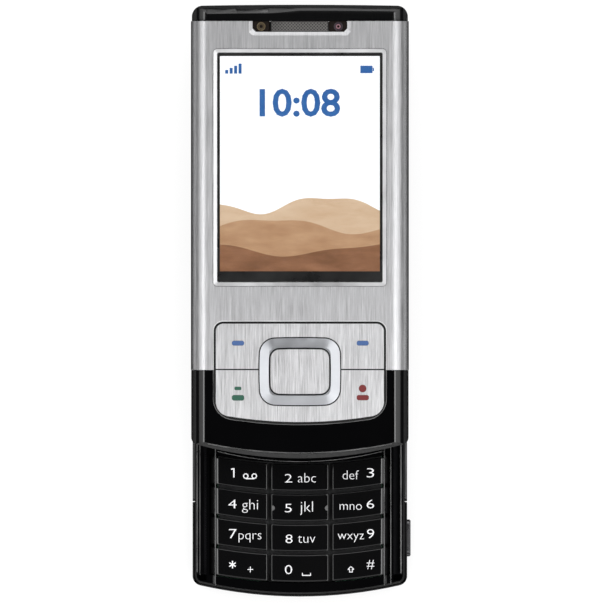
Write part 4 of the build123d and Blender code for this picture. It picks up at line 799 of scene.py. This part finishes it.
def key_blank(left, right, row, columns):
    shape = bmesh.new()
    bmesh.ops.create_grid(shape, x_segments=columns, y_segments=1, size=0.5)
    for v in shape.verts:
        x = left + (v.co.x + 0.5) * (right - left)
        centre = top_row - row * key_pitch + x * x / (2 * row_arc)
        v.co = Vector((x, centre + math.copysign(key_height / 2, v.co.y), key_level)) * mm
    thicken(shape, key_level - key_floor)
    upper_rim = [e for e in shape.edges if len(e.link_faces) == 2
                 and max(f.normal.z for f in e.link_faces) > 0.9
                 and min(abs(f.normal.z) for f in e.link_faces) < 0.1]
    bmesh.ops.bevel(shape, geom=upper_rim, offset=rim_round * mm, segments=3, profile=0.5,
                    affect="EDGES", material=-1)
    tops = [f for f in shape.faces if f.normal.z > 0.99]
    bmesh.ops.inset_region(shape, faces=tops, thickness=top_inset * mm)
    for v in shape.verts:
        past = min(abs(v.co.x) / mm - shoulder_start, shoulder_round)
        if past > 0:
            drop = shoulder_round - math.sqrt(shoulder_round ** 2 - past ** 2)
            v.co.z = max(v.co.z - drop * mm, key_floor * mm)
    bmesh.ops.remove_doubles(shape, verts=shape.verts, dist=1e-7)
    bmesh.ops.recalc_face_normals(shape, faces=shape.faces)
    return shape


print("caps", key_height, "mm long, a row every", key_pitch, "mm")

# %% [markdown]
# ## Twelve caps in four rows
# All rows have the same three places, given by where each cap starts and ends
# across the phone. The outer caps get more faces, because they roll down. Each
# cap takes the place of the plain solid one and moves with its key.

# %% Own key caps
rows_of_keys = (("key_1", "key_2", "key_3"), ("key_4", "key_5", "key_6"),
                ("key_7", "key_8", "key_9"), ("key_star", "key_0", "key_hash"))
places_in_row = ((-19.12, -6.87, 34), (-6.2, 6.2, 14), (6.87, 19.12, 34))
for row, names in enumerate(rows_of_keys):
    for name, (left, right, columns) in zip(names, places_in_row):
        cap = keep(key_blank(left, right, row, columns), f"{name}_cap", "key_black", name,
                   smooth=40)
        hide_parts(name)
print("twelve key caps made")

# %% [markdown]
# ## Legends of the keypad
# The digits and letters are cut through the keys' black lacquer, down to clear
# plastic that is lit from behind. So they are flat, pale, and glow a little. One
# table gives the digits with the space that each fills, the next the letters,
# whose height follows from their width. A negative weight makes them slimmer.

# %% Digits and letters
tree, shader = new_finish("legend_grey", (0.60, 0.60, 0.61), 0.4)
uneven = mixed(tree, noise(tree, (1.5, 1.5, 1.5), detail=2.0),
               (0.50, 0.50, 0.51), (0.62, 0.62, 0.63))
feed(tree, shader, uneven, "Base Color", "Emission Color")
legend_glow, legend_lift, digit_weight, letter_weight = 0.70, 0.015, -0.011, -0.016
shader.inputs["Emission Strength"].default_value = legend_glow

key_face = key_level + legend_lift
digits = (("2", "key_2", -3.20, -1.64, -23.86, -22.04),
          ("3", "key_3", 14.28, 15.86, -22.77, -20.80),
          ("4", "key_4", -15.31, -13.51, -29.37, -27.51),
          ("5", "key_5", -3.20, -1.74, -30.22, -28.43),
          ("6", "key_6", 14.28, 15.86, -29.37, -27.51),
          ("7", "key_7", -15.13, -13.51, -35.78, -33.81),
          ("8", "key_8", -3.05, -1.57, -36.82, -34.97),
          ("9", "key_9", 14.34, 15.86, -35.78, -33.81),
          ("0", "key_0", -3.20, -1.64, -43.42, -41.50),
          ("#", "key_hash", 14.28, 15.92, -42.38, -40.41),
          ("+", "key_star", -11.20, -9.97, -43.04, -41.82))
for words, key, left, right, base, top in digits:
    name = f"{key}_plus" if words == "+" else f"{key}_digit"
    lettering(name, words, "legend_grey", key, left, right, base, key_face, top=top,
              weight=digit_weight)
letters = (("abc", "key_2", -0.42, 3.43, -23.86), ("def", "key_3", 9.13, 12.59, -23.20),
           ("ghi", "key_4", -12.36, -8.94, -29.63), ("jkl", "key_5", 0.07, 2.79, -30.12),
           ("mno", "key_6", 8.51, 13.23, -29.71), ("pqrs", "key_7", -13.08, -8.21, -36.01),
           ("tuv", "key_8", -0.42, 3.28, -36.76), ("wxyz", "key_9", 8.08, 13.70, -36.01))
for words, key, left, right, base in letters:
    lettering(f"{key}_letters", words, "legend_grey", key, left, right, base, key_face,
              weight=letter_weight)
print(len(digits) + len(letters), "legends set")

# %% [markdown]
# ## Signs made of strokes
# The 1, the star and the shift arrow are plainer than the font's, so they are
# drawn with straight strokes. Where two strokes cross they would lie in one
# plane, and the picture would flicker between them. So each stroke lies a hair
# above the one before, counted through all the signs.

# %% Strokes
stroke_lift, strokes_so_far = 0.0004, count(1)


def stroke(name, key, *lines, width):
    """One sign made of straight strokes, each from (x, y) to (x, y)."""
    sign = bmesh.new()
    for x0, y0, x1, y1 in lines:
        line = bmesh.ops.create_grid(sign, x_segments=1, y_segments=1, size=0.5)["verts"]
        length, turn = math.hypot(x1 - x0, y1 - y0), math.atan2(y1 - y0, x1 - x0)
        level = key_face + next(strokes_so_far) * stroke_lift
        bmesh.ops.scale(sign, verts=line, vec=(length * mm, width * mm, 1))
        bmesh.ops.rotate(sign, verts=line, matrix=Matrix.Rotation(turn, 3, "Z"))
        bmesh.ops.translate(sign, verts=line,
                            vec=Vector(((x0 + x1) / 2, (y0 + y1) / 2, level)) * mm)
    keep(sign, name, "legend_grey", key)


stroke("key_1_digit", "key_1", (-14.10, -22.77, -14.10, -20.80),
       (-14.68, -21.02, -14.10, -20.93), width=0.30)
star_x, star_y, star_reach = -14.39, -41.40, 0.80
star_arms = [(star_reach * math.cos(a), star_reach * math.sin(a))
             for a in map(math.radians, (90, 30, 150))]
stroke("key_star_digit", "key_star",
       *((star_x - x, star_y - y, star_x + x, star_y + y) for x, y in star_arms), width=0.25)
print("a one and a star drawn")

# %% [markdown]
# ## Small symbols and finger marks
# Two tape spools stand for the voice mailbox, an open box for the space and an
# arrow for the shift. At both ends of the 5 a small rounded mark shows where the
# thumb finds the middle key: a disc, cut off near the key's edge.

# %% Symbols and finger marks
for side, x in (("left", -11.55), ("right", -9.74)):
    keep(flat_ring(0.59, 0.36, key_face, x, -22.48), f"mailbox_spool_{side}", "legend_grey",
         "key_1")
tile("mailbox_tape", "legend_grey", "key_1", -10.65, 0.9, -23.16, -22.93, key_face)
tile("space_floor", "legend_grey", "key_0", 1.41, 0.95, -43.79, -43.60, key_face)
for side, x in (("left", 0.55), ("right", 2.27)):
    tile(f"space_{side}", "legend_grey", "key_0", x, 0.09, -43.60, -43.19, key_face)
stroke("shift_arrow", "key_hash",
       (10.26, -42.42, 10.93, -41.80), (10.89, -41.80, 11.56, -42.42),
       (10.26, -42.42, 10.66, -42.42), (11.56, -42.42, 11.16, -42.42),
       (10.62, -42.40, 10.62, -43.02), (11.20, -42.40, 11.20, -43.02),
       (10.56, -42.98, 11.26, -42.98), width=0.16)

finger_x, finger_cut, finger_y, finger_level, finger_radius = 5.90, 5.98, -29.31, 8.885, 0.55
satin_finish("finger_grey", (0.10, 0.10, 0.10), roughness=0.5)
for side, way in (("left", -1), ("right", 1)):
    nub = disc(finger_radius, finger_level, way * finger_x, finger_y, 28)
    cut_off(nub, (way * finger_cut, 0), (way, 0))
    keep(nub, f"finger_mark_{side}", "finger_grey", "key_5")
print("symbols set")

# %% [markdown]
# ## Earpiece cloth
# The earpiece is covered by cloth woven from fine steel wire and set at a slant.
# One wire is a long thin strip. Thirty-one strips are laid each way, and
# everything outside the tile is cut off with four straight cuts.

# %% Woven wires
cloth_left, cloth_right, cloth_low, cloth_high, cloth_top = -6.0, 5.9, 72.5, 74.45, 15.61
wires_each_side, wire_step, wire_length, wire_width, wire_depth = 15, 0.69, 20.0, 0.17, 0.02
layer_lift = 0.03
cloth_middle = Vector(((cloth_left + cloth_right) / 2, (cloth_low + cloth_high) / 2, 0)) * mm
satin_finish("wire_bright", (0.13, 0.125, 0.12), roughness=0.4, grain=0.2, metallic=0.7)
for layer, slant in enumerate((45, -45)):
    cloth = bmesh.new()
    for step in range(-wires_each_side, wires_each_side + 1):
        wire = bmesh.ops.create_grid(cloth, x_segments=1, y_segments=1, size=0.5)["verts"]
        aside = Vector((step * wire_step, 0, cloth_top + layer * layer_lift)) * mm
        bmesh.ops.scale(cloth, verts=wire, vec=(wire_length * mm, wire_width * mm, 1))
        bmesh.ops.rotate(cloth, verts=wire, matrix=Matrix.Rotation(math.radians(slant), 3, "Z"))
        bmesh.ops.translate(cloth, verts=wire, vec=cloth_middle + aside)
    for point, outward in (((cloth_left, 0), (-1, 0)), ((cloth_right, 0), (1, 0)),
                           ((0, cloth_low), (0, -1)), ((0, cloth_high), (0, 1))):
        cut_off(cloth, point, outward)
    keep(thicken(cloth, wire_depth), f"cloth_wires_{layer + 1}", "wire_bright", "slider")
print(2 * wires_each_side + 1, "wires each way")

# %% [markdown]
# ## Light sensor and little camera
# Beside the earpiece the light sensor and a camera each sit behind a small lens
# with a coloured ring. Flat rings on the lenses show them, the narrow ring of
# each pair a touch higher than the broad one.

# %% Lens rings
sensor_x, front_camera_x, lens_row = -8.25, 8.2, 73.45
broad_level, narrow_level = 15.611, 15.613
satin_finish("amber_lens", (0.055, 0.040, 0.022), roughness=0.3)
satin_finish("amber_ring", (0.10, 0.075, 0.04), roughness=0.3)
satin_finish("violet_lens", (0.030, 0.022, 0.028), roughness=0.25)
satin_finish("pink_ring", (0.22, 0.11, 0.13), roughness=0.3)
for name, finish, x, outer, inner, level in (
        ("sensor_ring", "amber_ring", sensor_x, 0.92, 0.76, narrow_level),
        ("sensor_lens_face", "amber_lens", sensor_x, 0.76, 0.34, broad_level),
        ("camera_surround", "violet_lens", front_camera_x, 0.98, 0.52, broad_level),
        ("camera_ring", "pink_ring", front_camera_x, 0.50, 0.28, narrow_level)):
    keep(flat_ring(outer, inner, level, x, lens_row), name, finish, "slider")
print("earpiece row ready")

# %% [markdown]
# ## Fine lines around the keypad
# The rails and the edges of their grooves are sharp folds of polished black,
# and each fold carries a hair of light from end to end. A narrow strip on each
# fold, a little paler than the plastic, shows that line. One more, bowed like
# the rows of keys, lies above the top row.

# %% Lines along the rails and above the keys
rail_line_top, rail_line_level, rail_line_depth = -15.0, 8.62, 0.05
for x, low, half in ((-21.95, -43.0, 0.10), (-21.35, -43.6, 0.08), (-18.05, -45.8, 0.10),
                     (18.05, -45.8, 0.10), (19.42, -45.6, 0.10), (21.60, -43.2, 0.14)):
    side = "left" if x < 0 else "right"
    tile(f"rail_line_{side}_{abs(round(x * 100))}", "edge_glint", "base", x, half, low,
         rail_line_top, rail_line_level, rail_line_depth)

upper_half, upper_middle, upper_bow, upper_width = 17.6, -19.4, 142, 0.15
upper_line = bowed_line(upper_half, upper_middle, upper_bow, upper_width, rail_line_level,
                        columns=24)
keep(thicken(upper_line, 0.02), "keypad_upper_line", "edge_glint", "base")
print("fine lines laid")

# %% [markdown]
# ## Details of the back
# The camera's window has a bright bezel and, printed on it, a ring around a dark
# pupil. The screw heads have a cross to turn them by, drawn in black as painted
# shade for its slots, and the latch has three ribs for a thumb. All of them are
# thin plates, sunk within the back's own depth.

# %% Bezel, crosses and ribs
lens_x, lens_y, lens_level = -7.5, 37.5, 0.199
keep(thicken(flat_ring(5.15, 4.60, lens_level, lens_x, lens_y, 48), 0.12),
     "lens_bezel", "screw_steel", "base")
keep(thicken(flat_ring(2.60, 2.40, lens_level, lens_x, lens_y, 40), 0.03),
     "lens_print", "edge_glint", "base")
keep(thicken(disc(1.5, lens_level, lens_x, lens_y, 36), 0.04), "lens_pupil", "dark_tile", "base")

screw_y, screw_level, cross_step, cross_depth = 70.5, 9.128, 0.002, 0.02
cross_reach, cross_half = 0.75, 0.14
# Painted shade: each cross is a thin black plate standing for the slots in the head.
for side, x in (("left", -19.0), ("right", 19.0)):
    for bar, half, reach in ((1, cross_reach, cross_half), (2, cross_half, cross_reach)):
        tile(f"screw_cross_{side}_{bar}", "gap_black", "slider", x, half, screw_y - reach,
             screw_y + reach, screw_level - (bar - 1) * cross_step, cross_depth)

rib_reach, rib_half, rib_level, rib_depth = 3.2, 0.12, 0.118, 0.05
for rib, y in enumerate((-32.0, -31.3, -30.6)):
    tile(f"latch_rib_{rib + 1}", "edge_glint", "latch", 0, rib_reach, y - rib_half,
         y + rib_half, rib_level, rib_depth)
print("back dressed")
